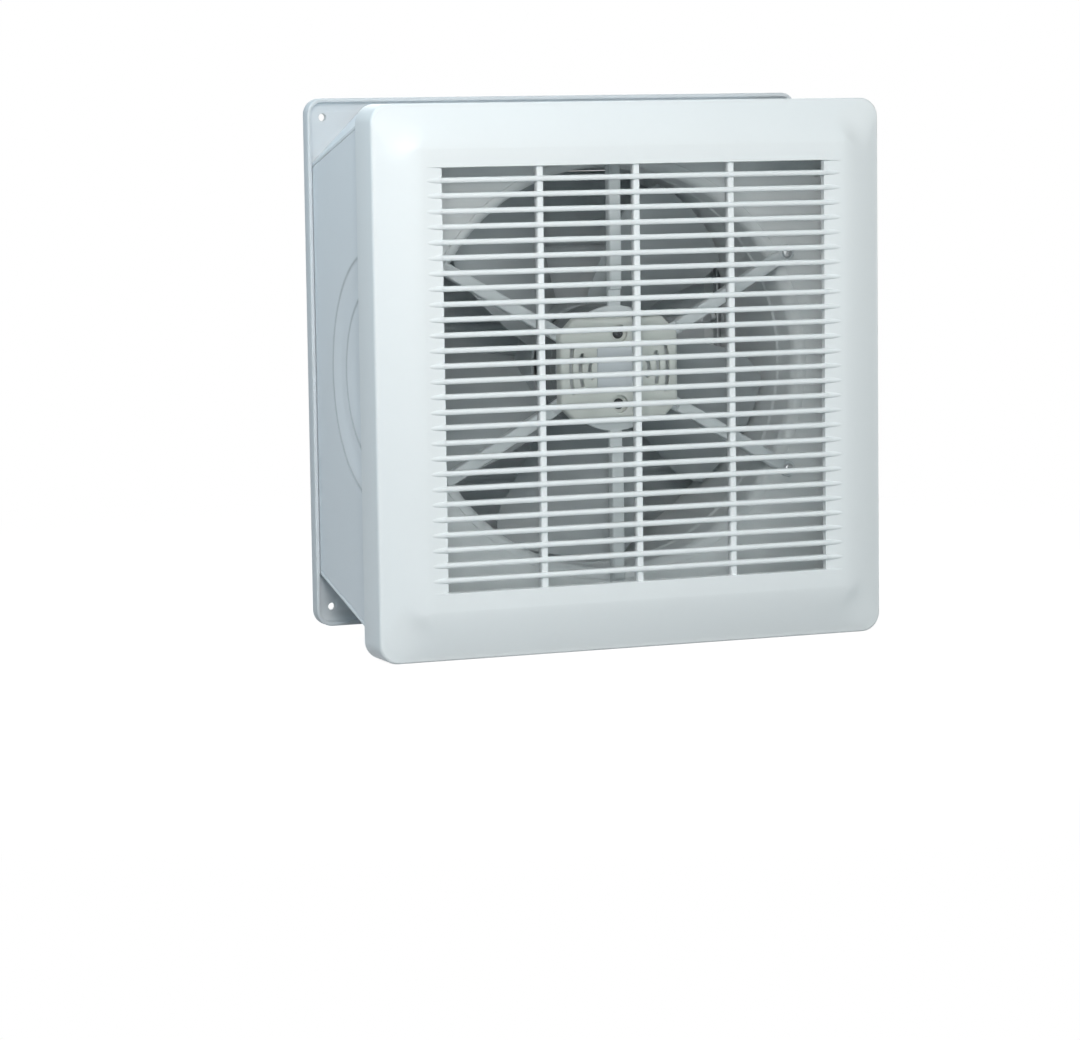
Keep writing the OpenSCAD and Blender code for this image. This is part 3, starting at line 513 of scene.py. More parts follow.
MOTOR = plastic("motor_paint", (150, 154, 156), 0.4, 500, 0.1, 0.06, 0.03, coat=0.2)
RUBBER = plastic("black_rubber", (32, 32, 33), 0.72, 500, 0.18, 0.12, 0.06, dust=0.05, specular=0.3)
BLACK = plastic("black_plastic", (38, 38, 40), 0.45, 900, 0.06, 0.08, 0.04)
# metal: name, colour, roughness
STEEL = metal("bare_steel", (188, 190, 192), 0.32)
BRONZE = metal("bronze", (190, 150, 92), 0.38)
ZINC = metal("zinc_screw", (226, 228, 230), 0.46)
DARK_STEEL = metal("dark_screw", (92, 94, 96), 0.4)
BRASS = metal("brass_screw", (206, 178, 104), 0.28)
SHEET = layered("steel_sheets", (150, 152, 155), 0.45, 0.9, 0.6, 1.0, 620.0, 0.3, 0.4, 0.0003,
                wave_type="BANDS", bands_direction="Y")
COPPER = layered("copper_wire", (186, 106, 58), 0.35, 0.8, 0.45, 1.1, 320.0, 1.5, 0.5, 0.0006,
                 wave_type="RINGS", rings_direction="Y")


# ---------------------------------------------------------------- front grille

def side_loop(hx, hz, r, d, mid=GRILLE_Z):
    """A rounded rectangle with points in line with the air opening's edges."""
    first, second, third, fourth = corner_arcs(hx, hz, r, 10)
    right = [(hx, -OPEN_Z), (hx, OPEN_Z)]
    top = [(OPEN_X, hz), (-OPEN_X, hz)]
    left, bottom = [[(-x, -z) for x, z in pts] for pts in (right, top)]
    return at(right + first + top + second + left + third + bottom + fourth, d, mid)


def frame_loop(s, r, d):
    """One loop of the panel, s in from its outline; every loop has the same points."""
    mid = PANEL_Z + (GRILLE_Z - PANEL_Z) * s / FRAME_W
    return side_loop(PANEL_HALF - s, PANEL_HALF - s, r, d, mid)


def face_depth(s):
    """Depth of the domed face, s in from the outline."""
    t = max(0.0, 1.0 - s / 35.0)
    return FACE - EDGE_FALL * t ** 1.35


def corner_radius(s):
    """Radius of the face's corners, largest half-way in, so that the dome has no mitre lines."""
    return CORNER_R * (1 + smooth(s / 14.0) - 2 * smooth((s - 14.0) / 22.0))


grille = Mesh()
# rear edge of the skirt, its outside, the rounded edge and the dome
rear_edge = ((2.6, 1.2), (2.4, 0.4), (1.6, 0.0), (0.8, 0.0), (0.2, 0.3), (0.0, 1.0))
rows = [(s, CORNER_R - s, SKIRT_REAR + up) for s, up in rear_edge]
edge_s = EDGE_R * 0.75
edge_d = face_depth(edge_s)
rows.append((0.0, CORNER_R, edge_d - EDGE_R - 0.6))
for k in range(1, 9):
    a = math.radians(10 * k)
    rows.append((edge_s * (1 - math.cos(a)), CORNER_R, edge_d - EDGE_R * (1 - math.sin(a)) * 0.98))
for k in range(18):
    s = edge_s + (FRAME_W - edge_s) * (k / 18.0)
    rows.append((s, max(corner_radius(s), 0.0), face_depth(s)))
grille.loops([frame_loop(*row) for row in rows] + [side_loop(BORDER_X, BORDER_Z, 0.0, FACE)])


def patch(*corners):
    """A face of the grille between points (x, depth, height from the opening's centre)."""
    grille.face(grille.add([(x, d, GRILLE_Z + z) for x, d, z in corners]))


# flat strips above and below the opening, sloping borders beside it, lip round it
for sz in SIDES:
    z0, z1 = sz * OPEN_Z, sz * BORDER_Z
    for x0, x1 in ((-BORDER_X, -OPEN_X), (-OPEN_X, OPEN_X), (OPEN_X, BORDER_X)):
        patch((x0, FACE, z0), (x1, FACE, z0), (x1, FACE, z1), (x0, FACE, z1))
    patch((-OPEN_X, LIP_D, z0), (OPEN_X, LIP_D, z0), (OPEN_X, FACE, z0), (-OPEN_X, FACE, z0))
sunk = FACE - BEVEL
for sx in SIDES:
    x0, x1 = sx * OPEN_X, sx * BORDER_X
    patch((x0, sunk, -OPEN_Z), (x1, FACE, -OPEN_Z), (x1, FACE, OPEN_Z), (x0, sunk, OPEN_Z))
    patch((x0, LIP_D, -OPEN_Z), (x0, sunk, -OPEN_Z), (x0, sunk, OPEN_Z), (x0, LIP_D, OPEN_Z))
    for sz in SIDES:
        z0 = sz * OPEN_Z
        patch((x0, sunk, z0), (x1, FACE, z0), (x0, FACE, z0))
# inside of the moulding
rows = [(2.6, 11.4, SKIRT_REAR + 1.2), (2.6, 11.4, edge_d - EDGE_R - 1.2), (3.4, 11.0, edge_d - 4.6),
        (5.2, 10.0, edge_d - 2.9)]
for k in range(1, 8):
    s = 5.2 + (FRAME_W - 5.2) * k / 8.0
    rows.append((s, max(0.5, corner_radius(s) - 2.0), face_depth(s) - WALL))
lip_x, lip_z = OPEN_X + LIP_W, OPEN_Z + LIP_W
grille.loops([frame_loop(*row) for row in rows] + [
    side_loop(160.0, 161.5, 0.3, FACE - 4.6),
    side_loop(lip_x, lip_z, 0.0, FACE - 4.8),
    side_loop(lip_x, lip_z, 0.0, LIP_D),
])
for sz in SIDES:
    z0, z1 = sz * OPEN_Z, sz * lip_z
    patch((-OPEN_X, LIP_D, z0), (OPEN_X, LIP_D, z0), (OPEN_X, LIP_D, z1), (-OPEN_X, LIP_D, z1))
for sx in SIDES:
    x0, x1 = sx * OPEN_X, sx * lip_x
    for z0, z1 in ((-OPEN_Z, OPEN_Z), (OPEN_Z, lip_z), (-OPEN_Z, -lip_z)):
        patch((x0, LIP_D, z0), (x1, LIP_D, z0), (x1, LIP_D, z1), (x0, LIP_D, z1))
piece("grille_frame", grille, PANEL, ["front_grille"], "grille",
      sharp=33, bevel=0.7, segments=3)


def slat_profile(d0, d1, t0, t1):
    """Cross-section of a slat in (depth, z), thin end at the rear and a round nose."""
    nose = 1.9
    pts = [(d0 + 0.4, -t0 / 2), (d0, -t0 / 2 + 0.4), (d0, t0 / 2 - 0.4), (d0 + 0.4, t0 / 2)]
    return pts + [(d1 - nose + nose * c, t1 / 2 * s) for c, s in arc(0.0, 0.0, 1.0, 90, -90, 7)]


slats = Mesh()
for i in range(1, SLATS + 1):
    z = GRILLE_Z + OPEN_Z + 2.0 - i * SLAT_PITCH
    full = [(d, z + h) for d, h in slat_profile(LIP_D, FACE, 3.6, 4.0)]
    slats.join(bar_x(full, -OPEN_X - 1.5, OPEN_X + 1.5))
    rib = [(d, z + h) for d, h in slat_profile(FACE - 3.6, FACE, 3.9, 4.0)]
    for sx in SIDES:
        a, b = sorted((sx * (OPEN_X + 1.2), sx * (BORDER_X + 0.5)))
        slats.join(bar_x(rib, a, b))
piece("grille_slats", slats, PANEL, body="grille", sharp=50)

bars = Mesh()
for i in range(1, BARS + 1):
    x = -OPEN_X + i * (2 * OPEN_X / (BARS + 1))
    w, d0, d1, r = 2.5, FACE - 8.8, FACE - 2.8, 1.1
    prof = [(x - w, d0 + 0.4), (x - w + 0.4, d0), (x + w - 0.4, d0), (x + w, d0 + 0.4)]
    prof += arc(x + w - r, d1 - r, r, 0, 90, 4) + arc(x - w + r, d1 - r, r, 90, 180, 4)
    bars.join(bar_z(prof, GRILLE_Z - OPEN_Z - 1.0, GRILLE_Z + OPEN_Z + 1.0))
piece("grille_bars", bars, PANEL, body="grille", sharp=50)

posts = Mesh()
# the tip is waisted where the clip holds it
post = [(0.0, 120.2), (1.6, 120.2), (2.6, 120.9), (3.2, 122.4), (3.2, 125.2), (2.8, 126.0), (2.8, 127.0),
        (3.3, 128.0), (3.5, 130.0), (3.5, 155.5), (0.0, 155.5)]
gusset = ((-8.0, 151.5), (8.0, 151.5), (3.2, 138.0), (-3.2, 138.0))
for sx, sz in CORNERS:
    px, pz = sx * POST, PANEL_Z + sz * POST
    posts.join(lathe(post, 28, px, pz, closed=False))
    for c, s in ((1, 0), (0, 1)):
        sides = [[(px + w * c - t * s, d, pz + w * s + t * c) for w, d in gusset] for t in (0.7, -0.7)]
        posts.join(prism(sides))
piece("grille_posts", posts, PANEL, body="grille", sharp=40)


# ---------------------------------------------------------------- casing

def cut(d):
    """Size of the slanted corner cuts at a depth."""
    return max(CUT_FRONT, CUT_REAR - CUT_SLOPE * (d - CUT_START))


def recess(r):
    """How far the side wall is sunk, r from the recess's centre."""
    groove = sum(max(0.0, 1 - abs(r - g) / 0.7) for g in GROOVES)
    return 1.5 * smooth((89.0 - r) / 18.0) + 1.5 * smooth((62.0 - r) / 18.0) + 0.3 * groove


def skin(out):
    """What the inner skin lies in from the outer one: at a wall and at a corner cut."""
    return (0.0, 0.0) if out else (WALL, CUT_INSET)


def casing_side(sign, out):
    """One side wall: the plane with its notch, the dished recess and the creases along the corner cuts."""
    m = Mesh()
    inset, e = skin(out)
    x0 = CASE_X - inset
    rings = []
    for r in RECESS_RADII:
        top = math.acos((REC_D - CASE_FRONT) / r)
        angles = [-top + 2 * top * k / 48 for k in range(49)]
        x = sign * (x0 - recess(r))
        rings.append([(x, REC_D - r * math.cos(a), REC_Z + r * math.sin(a)) for a in angles])
    ids = m.loops(rings, closed=False)
    m.face(ids[0])
    t0, t1 = [CASE_Z - cut(d) - e for d in (CASE_REAR, BEND)]
    # creases: a shallow groove a little inside each slanted edge
    groove = 0.8 if out else 0.0
    ends = ((CASE_REAR, t0), (BEND, t1))
    for s in SIDES:
        lines = []
        for off, sink in ((0.0, 0.0), (1.8, 0.0), (2.6, groove), (CREASE, 0.0)):
            lines.append([(sign * (x0 - sink), d, AXIS_Z + s * (t - off)) for d, t in ends])
        m.loops(lines, closed=False)
    upper = [(CASE_REAR, -(t0 - CREASE)), (CASE_REAR, t0 - CREASE), (BEND, t1 - CREASE), (BEND, t1),
             (CASE_FRONT, t1)]
    lower = [(CASE_FRONT, -t1), (BEND, -t1), (BEND, -(t1 - CREASE))]
    upper, lower = [m.add([(sign * x0, d, AXIS_Z + z) for d, z in pts]) for pts in (upper, lower)]
    m.cap([upper + ids[-1][::-1] + lower])
    return m


def casing_level(sz, out):
    """Top or bottom wall; the bottom wall has the opening for the terminal box."""
    m = Mesh()
    inset, e = skin(out)
    z = AXIS_Z + sz * (CASE_Z - inset)
    half = [(CASE_X - cut(d) - e, d) for d in (CASE_REAR, BEND, CASE_FRONT)]
    (x0, d0), (x1, d1), (x2, d2) = half
    rings = [m.add([(x, d, z) for x, d in ((-x0, d0), (x0, d0), (x1, d1), (x2, d2), (-x2, d2), (-x1, d1))])]
    if sz < 0:
        x0, x1, d0, d1 = BOX_X - BOX_HALF, BOX_X + BOX_HALF, BOX_D - BOX_HALF, BOX_D + BOX_HALF
        hole = ((x0, d0), (x0, d1), (x1, d1), (x1, d0))
        rings.append(m.add([(x, d, z) for x, d in hole]))
    m.cap(rings, (0, 1))
    if sz < 0 and out:
        m.bridge(rings[1], m.add([(x, d, z + WALL) for x, d in hole]))
    return m


def octagon(d, out):
    inset, e = skin(out)
    x, z = CASE_X - inset, CASE_Z - inset
    xc, zc = CASE_X - cut(d) - e, CASE_Z - cut(d) - e
    return at(lifted([(x, -zc), (x, zc), (xc, z), (-xc, z), (-x, zc), (-x, -zc), (-xc, -z), (xc, -z)]), d)


def rim(out):
    """The front rim's outline, which follows the recess in the side walls."""
    inset, e = skin(out)
    x, z = CASE_X - inset, CASE_Z - inset
    xc, zc = CASE_X - cut(CASE_FRONT) - e, CASE_Z - cut(CASE_FRONT) - e
    rise = [(x - recess(r), math.sqrt(r * r - (REC_D - CASE_FRONT) ** 2)) for r in RECESS_RADII]
    right = [(x, AXIS_Z - zc)] + [(p, REC_Z - h) for p, h in rise[::-1]]
    right += [(p, REC_Z + h) for p, h in rise] + [(x, AXIS_Z + zc)]
    left = [(-p, h) for p, h in right[::-1]]
    return at(right + lifted([(xc, z), (-xc, z)]) + left + lifted([(-xc, -z), (xc, -z)]), CASE_FRONT)


casing = Mesh()
for out in (True, False):
    inset, e = skin(out)
    for sign in SIDES:
        casing.join(casing_side(sign, out))
    for sz in SIDES:
        casing.join(casing_level(sz, out))
    for sx, sz in CORNERS:
        row = []
        for d in (CASE_REAR, BEND, CASE_FRONT):
            row.append([(sx * (CASE_X - inset), d, AXIS_Z + sz * (CASE_Z - cut(d) - e)),
                        (sx * (CASE_X - cut(d) - e), d, AXIS_Z + sz * (CASE_Z - inset))])
        casing.loops(row, closed=False)
casing.loops([rim(True), rim(False)])
casing.loops([octagon(CASE_REAR, True), octagon(CASE_REAR, False)])
# seats for the deck and for the screws through the rear plate
for sx, sz in CORNERS:
    x0, x1 = sorted((sx * 175.4, sx * (CASE_X - WALL)))
    z = AXIS_Z + sz * DECK_SCREW_Z
    casing.join(plate([box_loop(x0, x1, z - 7, z + 7)], 80.0, DECK_BACK, 0.6))
    x, z = sx * BODY_SCREW_X, AXIS_Z + sz * BODY_SCREW_Z
    casing.join(plate([box_loop(x - 8, x + 8, z - 6, z + 6)], CASE_REAR, 20.0, 0.6))
piece("casing", casing, CASING, ["casing_shell"], sharp=30, bevel=0.35)


# ---------------------------------------------------------------- rear plate and gasket

tray = Mesh()
# inset, corner radius and depth, from the back face round the rim to the floor
tray_rows = ((0.7, 11.3, 0.0), (0.2, 11.8, 0.25), (0.0, 12.0, 0.8), (0.0, 12.0, 10.1), (0.25, 11.8, 10.7),
             (0.9, 11.2, 11.0), (2.1, 9.9, 11.0), (2.75, 9.3, 10.7), (3.0, 9.0, 10.1), (3.05, 9.0, 5.6),
             (3.5, 8.6, 4.6), (4.6, 7.6, FLOOR_D))
ids = tray.loops([at(rounded_rect(PLATE_X - s, PLATE_Z - s, r, 10), d) for s, r, d in tray_rows])
back_rings, front_rings = [ids[0]], [ids[-1]]
# radius and depth along each hole, from the back to the floor
fix_hole = ((3.0, 0.0), (2.75, 0.25), (2.75, FLOOR_D - 0.5), (3.25, FLOOR_D))
screw_hole = ((4.3, 0.0), (4.3, HEAD_POCKET), (2.05, HEAD_POCKET), (2.05, FLOOR_D))
body_screws = [(sx * BODY_SCREW_X, AXIS_Z + sz * BODY_SCREW_Z) for sx, sz in CORNERS]
holes = [(sx * FIX_X, sz * FIX_Z, fix_hole) for sx, sz in CORNERS]
holes += [(x, z, screw_hole) for x, z in body_screws]
for x, z, steps in holes:
    ids = tray.loops([at(circle(r, 28, x, z, hole=True), d) for r, d in steps])
    back_rings.append(ids[0])
    front_rings.append(ids[-1])
front_edge, back_edge = tray.loops([at(square(PLATE_HOLE, hole=True), d) for d in (FLOOR_D, 0.0)])
tray.cap(front_rings + [front_edge])
# gasket groove in the back face
g_in, g_out = GASKET_IN - GROOVE_PLAY, GASKET_OUT + GROOVE_PLAY
groove = ((g_out, 0.0), (g_out, GASKET_T), (g_in, GASKET_T), (g_in, 0.0))
ids = tray.loops([at(square(h, hole=True), d) for h, d in groove])
tray.cap(back_rings + [ids[0]])
tray.cap([ids[-1][::-1], back_edge])
piece("rear_tray", tray, TRAY, ["rear_plate"], sharp=32)

gasket = Mesh()
# two soft lips stand a little proud of the foam between them
width = GASKET_OUT - GASKET_IN
lips = ((0.0, GASKET_T), (0.0, 0.35), (0.5, 0.05), (4.0, 0.0), (5.0, 0.35), (6.0, 0.35), (7.0, 0.0),
        (width - 0.5, 0.05), (width, 0.35), (width, GASKET_T))
gasket.loops([at(square(GASKET_IN + o), d) for o, d in lips], cyclic=True)
piece("foam_gasket", gasket, RUBBER, ["window_gasket"], sharp=50)


# ---------------------------------------------------------------- deck, bell mouth and duct

dx, dz = 189.9, CASE_Z - 3.3
cx, cz = [size - WALL - cut(DECK_BACK) - 0.5 for size in (CASE_X, CASE_Z)]
deck_loop = lifted([(dx, -cz - 2), (dx, cz + 2), (cx, dz), (-cx, dz),
                    (-dx, cz + 2), (-dx, -cz - 2), (-cx, -dz), (cx, -dz)])
deck = plate([deck_loop, circle(DECK_HOLE_R, 160, 0, AXIS_Z, hole=True)], DECK_BACK, DECK_FRONT, 0.4)
piece("inlet_deck_plate", deck, DUCT, ["inlet_deck"])

# bead at the throat's rear edge, throat, rounded inlet and the seat in the deck's hole
inlet_r = THROAT_R + BELL_ROUND
bell = [(147.6, 82.0), (147.3, 82.3), (147.3, 83.0), (147.5, 83.7), (148.1, 84.9), (148.4, 85.5),
        (THROAT_R, 86.2)]
bell += arc(inlet_r, 104.0, BELL_ROUND, 180, 90, 16)
bell += [(inlet_r, 112.6), (inlet_r, 109.7), (159.5, 109.7), (159.5, 107.0), (157.0, 106.2),
         (151.5, 101.0), (151.5, 82.0)]
piece("bell_mouth_ring", lathe(bell, 192), DUCT, ["bell_mouth"], sharp=30)

duct = [(DUCT_R, 81.4), (150.3, 81.9), (150.8, 82.0), (152.4, 82.0), (153.0, 81.6), (153.0, 12.5),
        (153.6, 10.6), (155.0, COLLAR_FRONT), (161.4, COLLAR_FRONT), (162.0, COLLAR_FRONT - 0.6),
        (162.0, FLANGE_FRONT), (DUCT_R, FLANGE_FRONT)]
piece("duct_tube", lathe(duct, 192), DUCT, ["duct_ring"], sharp=30)

# shutter frame: flange, sleeve, hinge bearings, lip, sill and the cover of the link's channel
flange = [square(165.0), circle(DUCT_R, 160, 0, AXIS_Z, hole=True)]
shut = plate(flange, FLANGE_BACK, FLANGE_FRONT, 0.4)
sleeve = Mesh()
sleeve_rows = ((SLEEVE_OUT, 4.5), (SLEEVE_OUT, -44.6), (154.4, -45.7), (153.0, -46.0), (151.6, -45.7),
               (SLEEVE_IN, -44.6), (SLEEVE_IN, 4.5))
sleeve.loops([at(rounded_rect(h, h, max(0.4, h - 150.6), 4), d, AXIS_Z) for h, d in sleeve_rows], cyclic=True)
shut.join(sleeve)
for z in HINGES:
    outer, bore = circle(5.2, 24, HINGE_D, z), circle(2.1, 24, HINGE_D, z)
    for a, b in ((146.0, 151.4), (-151.4, -148.2)):
        bearing = Mesh()
        rings = ((a, outer), (b, outer), (b, bore), (a, bore))
        bearing.loops([[(x, d, h) for d, h in pts] for x, pts in rings], cyclic=True)
        shut.join(bearing)
lip = [(-20.0, 139.3), (-25.0, 139.3), (-25.0, 147.2), (-20.0, 147.2)]
sill_low, sill_top = AXIS_Z - 151.2, HINGES[4] - 51.0
sill = [(-20.0, sill_low), (-25.0, sill_low), (-25.0, sill_top - 0.6), (-24.4, sill_top), (-20.6, sill_top),
        (-20.0, sill_top - 0.6)]
for prof in (lip, sill):
    shut.join(bar_x(prof, -151.2, 129.0))
shut.join(plate([box_loop(137.6, 151.2, -155.2, 147.2)], -29.0, -27.0, 0.3))
piece("shutter_sleeve", shut, DUCT, ["shutter_frame"])


# ---------------------------------------------------------------- spider, cover and motor

def arm(angle):
    m = plate([box_loop(44.0, 167.0, -5.0, 5.0)], SPIDER_BACK + 0.1, SPIDER_FRONT - 0.1, 0.8)
    m.join(plate([box_loop(58.0, 157.0, -4.95, 4.95)], SPIDER_BACK + 0.4, 120.0, 1.8, steps=4))
    foot = [(0.0, SPIDER_BACK), (5.6, SPIDER_BACK), (6.0, 113.4), (6.0, 116.4), (5.6, SPIDER_FRONT),
            (0.0, SPIDER_FRONT)]
    m.join(lathe(foot, 32, FOOT_R, 0.0, closed=False))
    return turned(m, angle)


windows = [circle(5.5, 24, x, z, hole=True) for x, z in polar(33, (45, 135, 225, 315))]
hub_plate = [circle(46.5, 96, 0, AXIS_Z)] + windows + [circle(4.3, 24, 0, AXIS_Z, hole=True)]
spider = plate(hub_plate, SPIDER_BACK, SPIDER_FRONT, 0.9)
for a in ARM_ANGLES:
    spider.join(arm(a))
spider.join(lathe([(9.05, 109.2), (11.4, 109.2), (12.0, 109.8), (12.0, 113.2), (9.05, 113.2)], 48))
piece("spider_arms", spider, SPIDER, ["motor_spider"])


def round_corners(raw, r):
    """Rounds the corners of a polygon."""
    n = 4
    out = []
    for i, corner in enumerate(raw):
        p0, p1, p2 = Vector(raw[i - 1]), Vector(corner), Vector(raw[(i + 1) % len(raw)])
        u, v = (p0 - p1).normalized(), (p2 - p1).normalized()
        half = u.angle(v) / 2
        a, b = p1 + u * (r / math.tan(half)), p1 + v * (r / math.tan(half))
        c = p1 + (u + v).normalized() * (r / math.sin(half))
        out += [tuple(c + (a.lerp(b, k / n) - c).normalized() * r) for k in range(n + 1)]
    return out


def cover_loop(inset):
    """The cover's eight-sided outline, moved in."""
    w, h, c = COVER_X - inset, COVER_Z - inset, 12.0 - inset * 0.6
    raw = [(w, c - h), (w, h - c), (w - c, h), (c - w, h), (-w, h - c), (-w, c - h), (c - w, -h), (w - c, -h)]
    return lifted(round_corners(raw, 3.0))


def slot_loop(x, half, w, sx):
    """A bowed vertical slot, clockwise."""
    bow, rise = 1.6 * sx, half - w / 2
    steps = [-1 + k / 3 for k in range(7)]
    middle = [(x - bow * (t * t - 0.4), AXIS_Z + t * rise) for t in steps]
    left, right = [[(px + off, pz) for px, pz in middle] for off in (-w / 2, w / 2)]
    top = arc(x - bow * 0.6, AXIS_Z + rise, w / 2, 180, 0, 4)[1:-1]
    bottom = arc(x - bow * 0.6, AXIS_Z - rise, w / 2, 0, -180, 4)[1:-1]
    return left + top + right[::-1] + bottom


front = [cover_loop(2.2)]
for sx in SIDES:
    front += [slot_loop(sx * x, half, 2.8, sx) for x, half in ((38.0, 18.0), (30.5, 12.5), (23.0, 7.5))]
front += [circle(6.5, 40, 0, AXIS_Z + sz * COVER_SCREW, hole=True) for sz in SIDES]
cover = plate(front, COVER_FRONT - 2.0, COVER_FRONT, 0.5)
skirt_rows = ((0.0, SPIDER_FRONT), (0.0, 122.2), (0.25, 123.4), (0.9, 124.3), (1.7, 124.85),
              (2.6, COVER_FRONT), (2.6, 123.0), (2.0, 122.5), (2.0, SPIDER_FRONT))
skirt = Mesh()
skirt.loops([at(cover_loop(inset), d) for inset, d in skirt_rows], cyclic=True)
cover.join(skirt)
well = [(6.5, 124.6), (6.5, 121.9), (6.2, WELL_FLOOR), (2.1, WELL_FLOOR), (2.1, SPIDER_FRONT),
        (8.5, SPIDER_FRONT), (8.5, 124.2)]
for sz in SIDES:
    cover.join(lathe(well, 40, 0.0, AXIS_Z + sz * COVER_SCREW))
piece("motor_cover_shell", cover, COVER, ["motor_cover"])

label = plate([lifted(rounded_rect(18.0, 16.0, 1.2, 4))], 124.6, 125.9, 0.35)
piece("motor_cover_plate", label, LABEL)

# bearing seat, domed end, the can's side with two rolled grooves, and its inside
can = [(9.1, 66.4), (9.5, 66.0), (11.4, 66.0), (12.0, 66.6), (12.0, 73.0), (13.0, 74.0), (43.4, 74.0),
       (45.2, 74.7), (CAN_R, 76.4)]
for d in (83.2, 101.4):
    can += [(CAN_R, d), (CAN_R - 0.5, d + 0.5), (CAN_R - 0.5, d + 1.4), (CAN_R, d + 1.9)]
can += [(CAN_R, SPIDER_BACK), (44.5, SPIDER_BACK), (44.5, 76.0), (43.0, 75.5), (9.1, 75.5)]
motor = lathe(can, 96)
ear_loop = [(45.2, -5.0), (55.0, -5.0), (57.0, -3.0), (57.0, 3.0), (55.0, 5.0), (45.2, 5.0)]
for a in EAR_ANGLES:
    ear = plate([ear_loop, circle(2.1, 20, EAR_HOLE_R, 0.0, hole=True)], EAR_BACK, SPIDER_BACK, 0.5)
    motor.join(turned(ear, a))
piece("motor_body", motor, MOTOR, ["motor_can"])


# ---------------------------------------------------------------- impeller

def blade_point(u, s, side):
    """A point of a blade: u from root to tip, s across the chord from -0.5 to 0.5, side is the skin."""
    r = HUB_R - 1.2 + (TIP_R - HUB_R + 1.2) * u
    rounding = 1 - 0.22 * (max(0.0, u - 0.72) / 0.28) ** 2
    chord = (60.0 + 64.0 * u ** 0.8) * rounding
    pitch = math.radians(38.0 - 18.0 * u)
    thickness = 2.6 * (0.3 + 0.7 * (1 - 4 * s * s))
    a = math.radians(12.0 * (0.5 - u)) + s * chord * math.cos(pitch) / r
    d = BLADE_MID + s * chord * math.sin(pitch) + 5.0 * (1 - 4 * s * s) + side * thickness / 2
    return (r * math.cos(a), d, r * math.sin(a))


def blade(angle):
    m = Mesh()
    n = 20
    across = [-0.5 * math.cos(math.pi * k / (n - 1)) for k in range(n)]
    rings = []
    for u in (k / 22.0 for k in range(23)):
        rings.append([blade_point(u, s, 1) for s in across] + [blade_point(u, s, -1) for s in across[::-1]])
    ids = m.loops(rings)
    for ring in (ids[0], ids[-1]):
        for k in range(n - 1):
            m.face((ring[k], ring[k + 1], ring[2 * n - 2 - k], ring[2 * n - 1 - k]))
    return turned(m, angle)


wheel = Mesh()
for k in range(BLADES):
    wheel.join(blade(BLADE_START + 360.0 / BLADES * k))
# the cup's floor and rim, then the boss round the shaft
hub = [(BORE_R, HUB_BACK), (42.0, HUB_BACK), (43.6, 26.4), (44.6, 27.4), (HUB_R, 29.0), (HUB_R, 61.4),
       (44.4, 62.0), (43.1, 62.0), (42.5, 61.4), (42.5, 30.5), (41.0, 29.0), (11.5, 29.0),
       (10.0, 30.5), (10.0, 57.4), (9.4, 58.0), (BORE_R, 58.0)]
wheel.join(lathe(hub, 120))
for k in range(2 * BLADES):
    rib = plate([box_loop(9.5, 42.8, -0.8, 0.8)], 28.5, 40.0, 0.4)
    wheel.join(turned(rib, 180.0 / BLADES * k))
piece("impeller_wheel", wheel, BLADE, ["impeller"], "fan_rotor", sharp=40)


# ---------------------------------------------------------------- flaps and link

crank_d, crank_up = CRANK_L * math.cos(CRANK_TILT), CRANK_L * math.sin(CRANK_TILT)


def flap(z):
    """A leaf that hangs from its hinge at height z, with ribs, pins, crank and crank pin."""
    m = Mesh()
    d_in, d_out = -25.1, -26.6
    hook = d_in - 3.7
    prof = [(d_in, z + 1.0), (d_in, z - 53.1), (d_in - 0.4, z - 53.5), (d_in - 2.2, z - 53.5),
            (d_in - 2.2, z - 56.6), (d_in - 2.6, z - 57.0), (d_in - 3.3, z - 57.0), (hook, z - 56.6),
            (hook, z - 52.4), (d_in - 3.3, z - 52.0), (d_out, z - 52.0), (d_out, z + 0.6)]
    m.join(bar_x(prof, -149.8, 136.8))
    for down in (14.0, 27.0, 40.0):
        zr, top = z - down, d_out - 0.35
        rib = [(d_out + 0.2, zr - 1.1), (top, zr - 0.5), (top, zr + 0.5), (d_out + 0.2, zr + 1.1)]
        m.join(bar_x(rib, -143.0, 133.0))
    m.join(rod_x(3.0, -147.0, 136.8, HINGE_D, z, 32))
    m.join(rod_x(2.0, -154.5, -146.0, HINGE_D, z))
    m.join(rod_x(2.0, 136.0, 154.5, HINGE_D, z))
    c, s = math.cos(CRANK_TILT), math.sin(CRANK_TILT)
    crank = arc(CRANK_L, 0.0, 2.9, -90, 90, 8) + arc(0.0, 0.0, 2.9, 90, 270, 8)
    m.join(bar_x([(HINGE_D + p * c - q * s, z + p * s + q * c) for p, q in crank], 134.0, 137.5))
    m.join(rod_x(1.5, 136.5, 142.8, HINGE_D + crank_d, z + crank_up))
    m.join(rod_x(2.6, 142.6, 144.0, HINGE_D + crank_d, z + crank_up, 24, 0.4))
    return m


for i, z in enumerate(HINGES, 1):
    piece(f"flap_{i}_leaf", flap(z), FLAP, [f"shutter_flap_{i}"], f"flap_{i}")


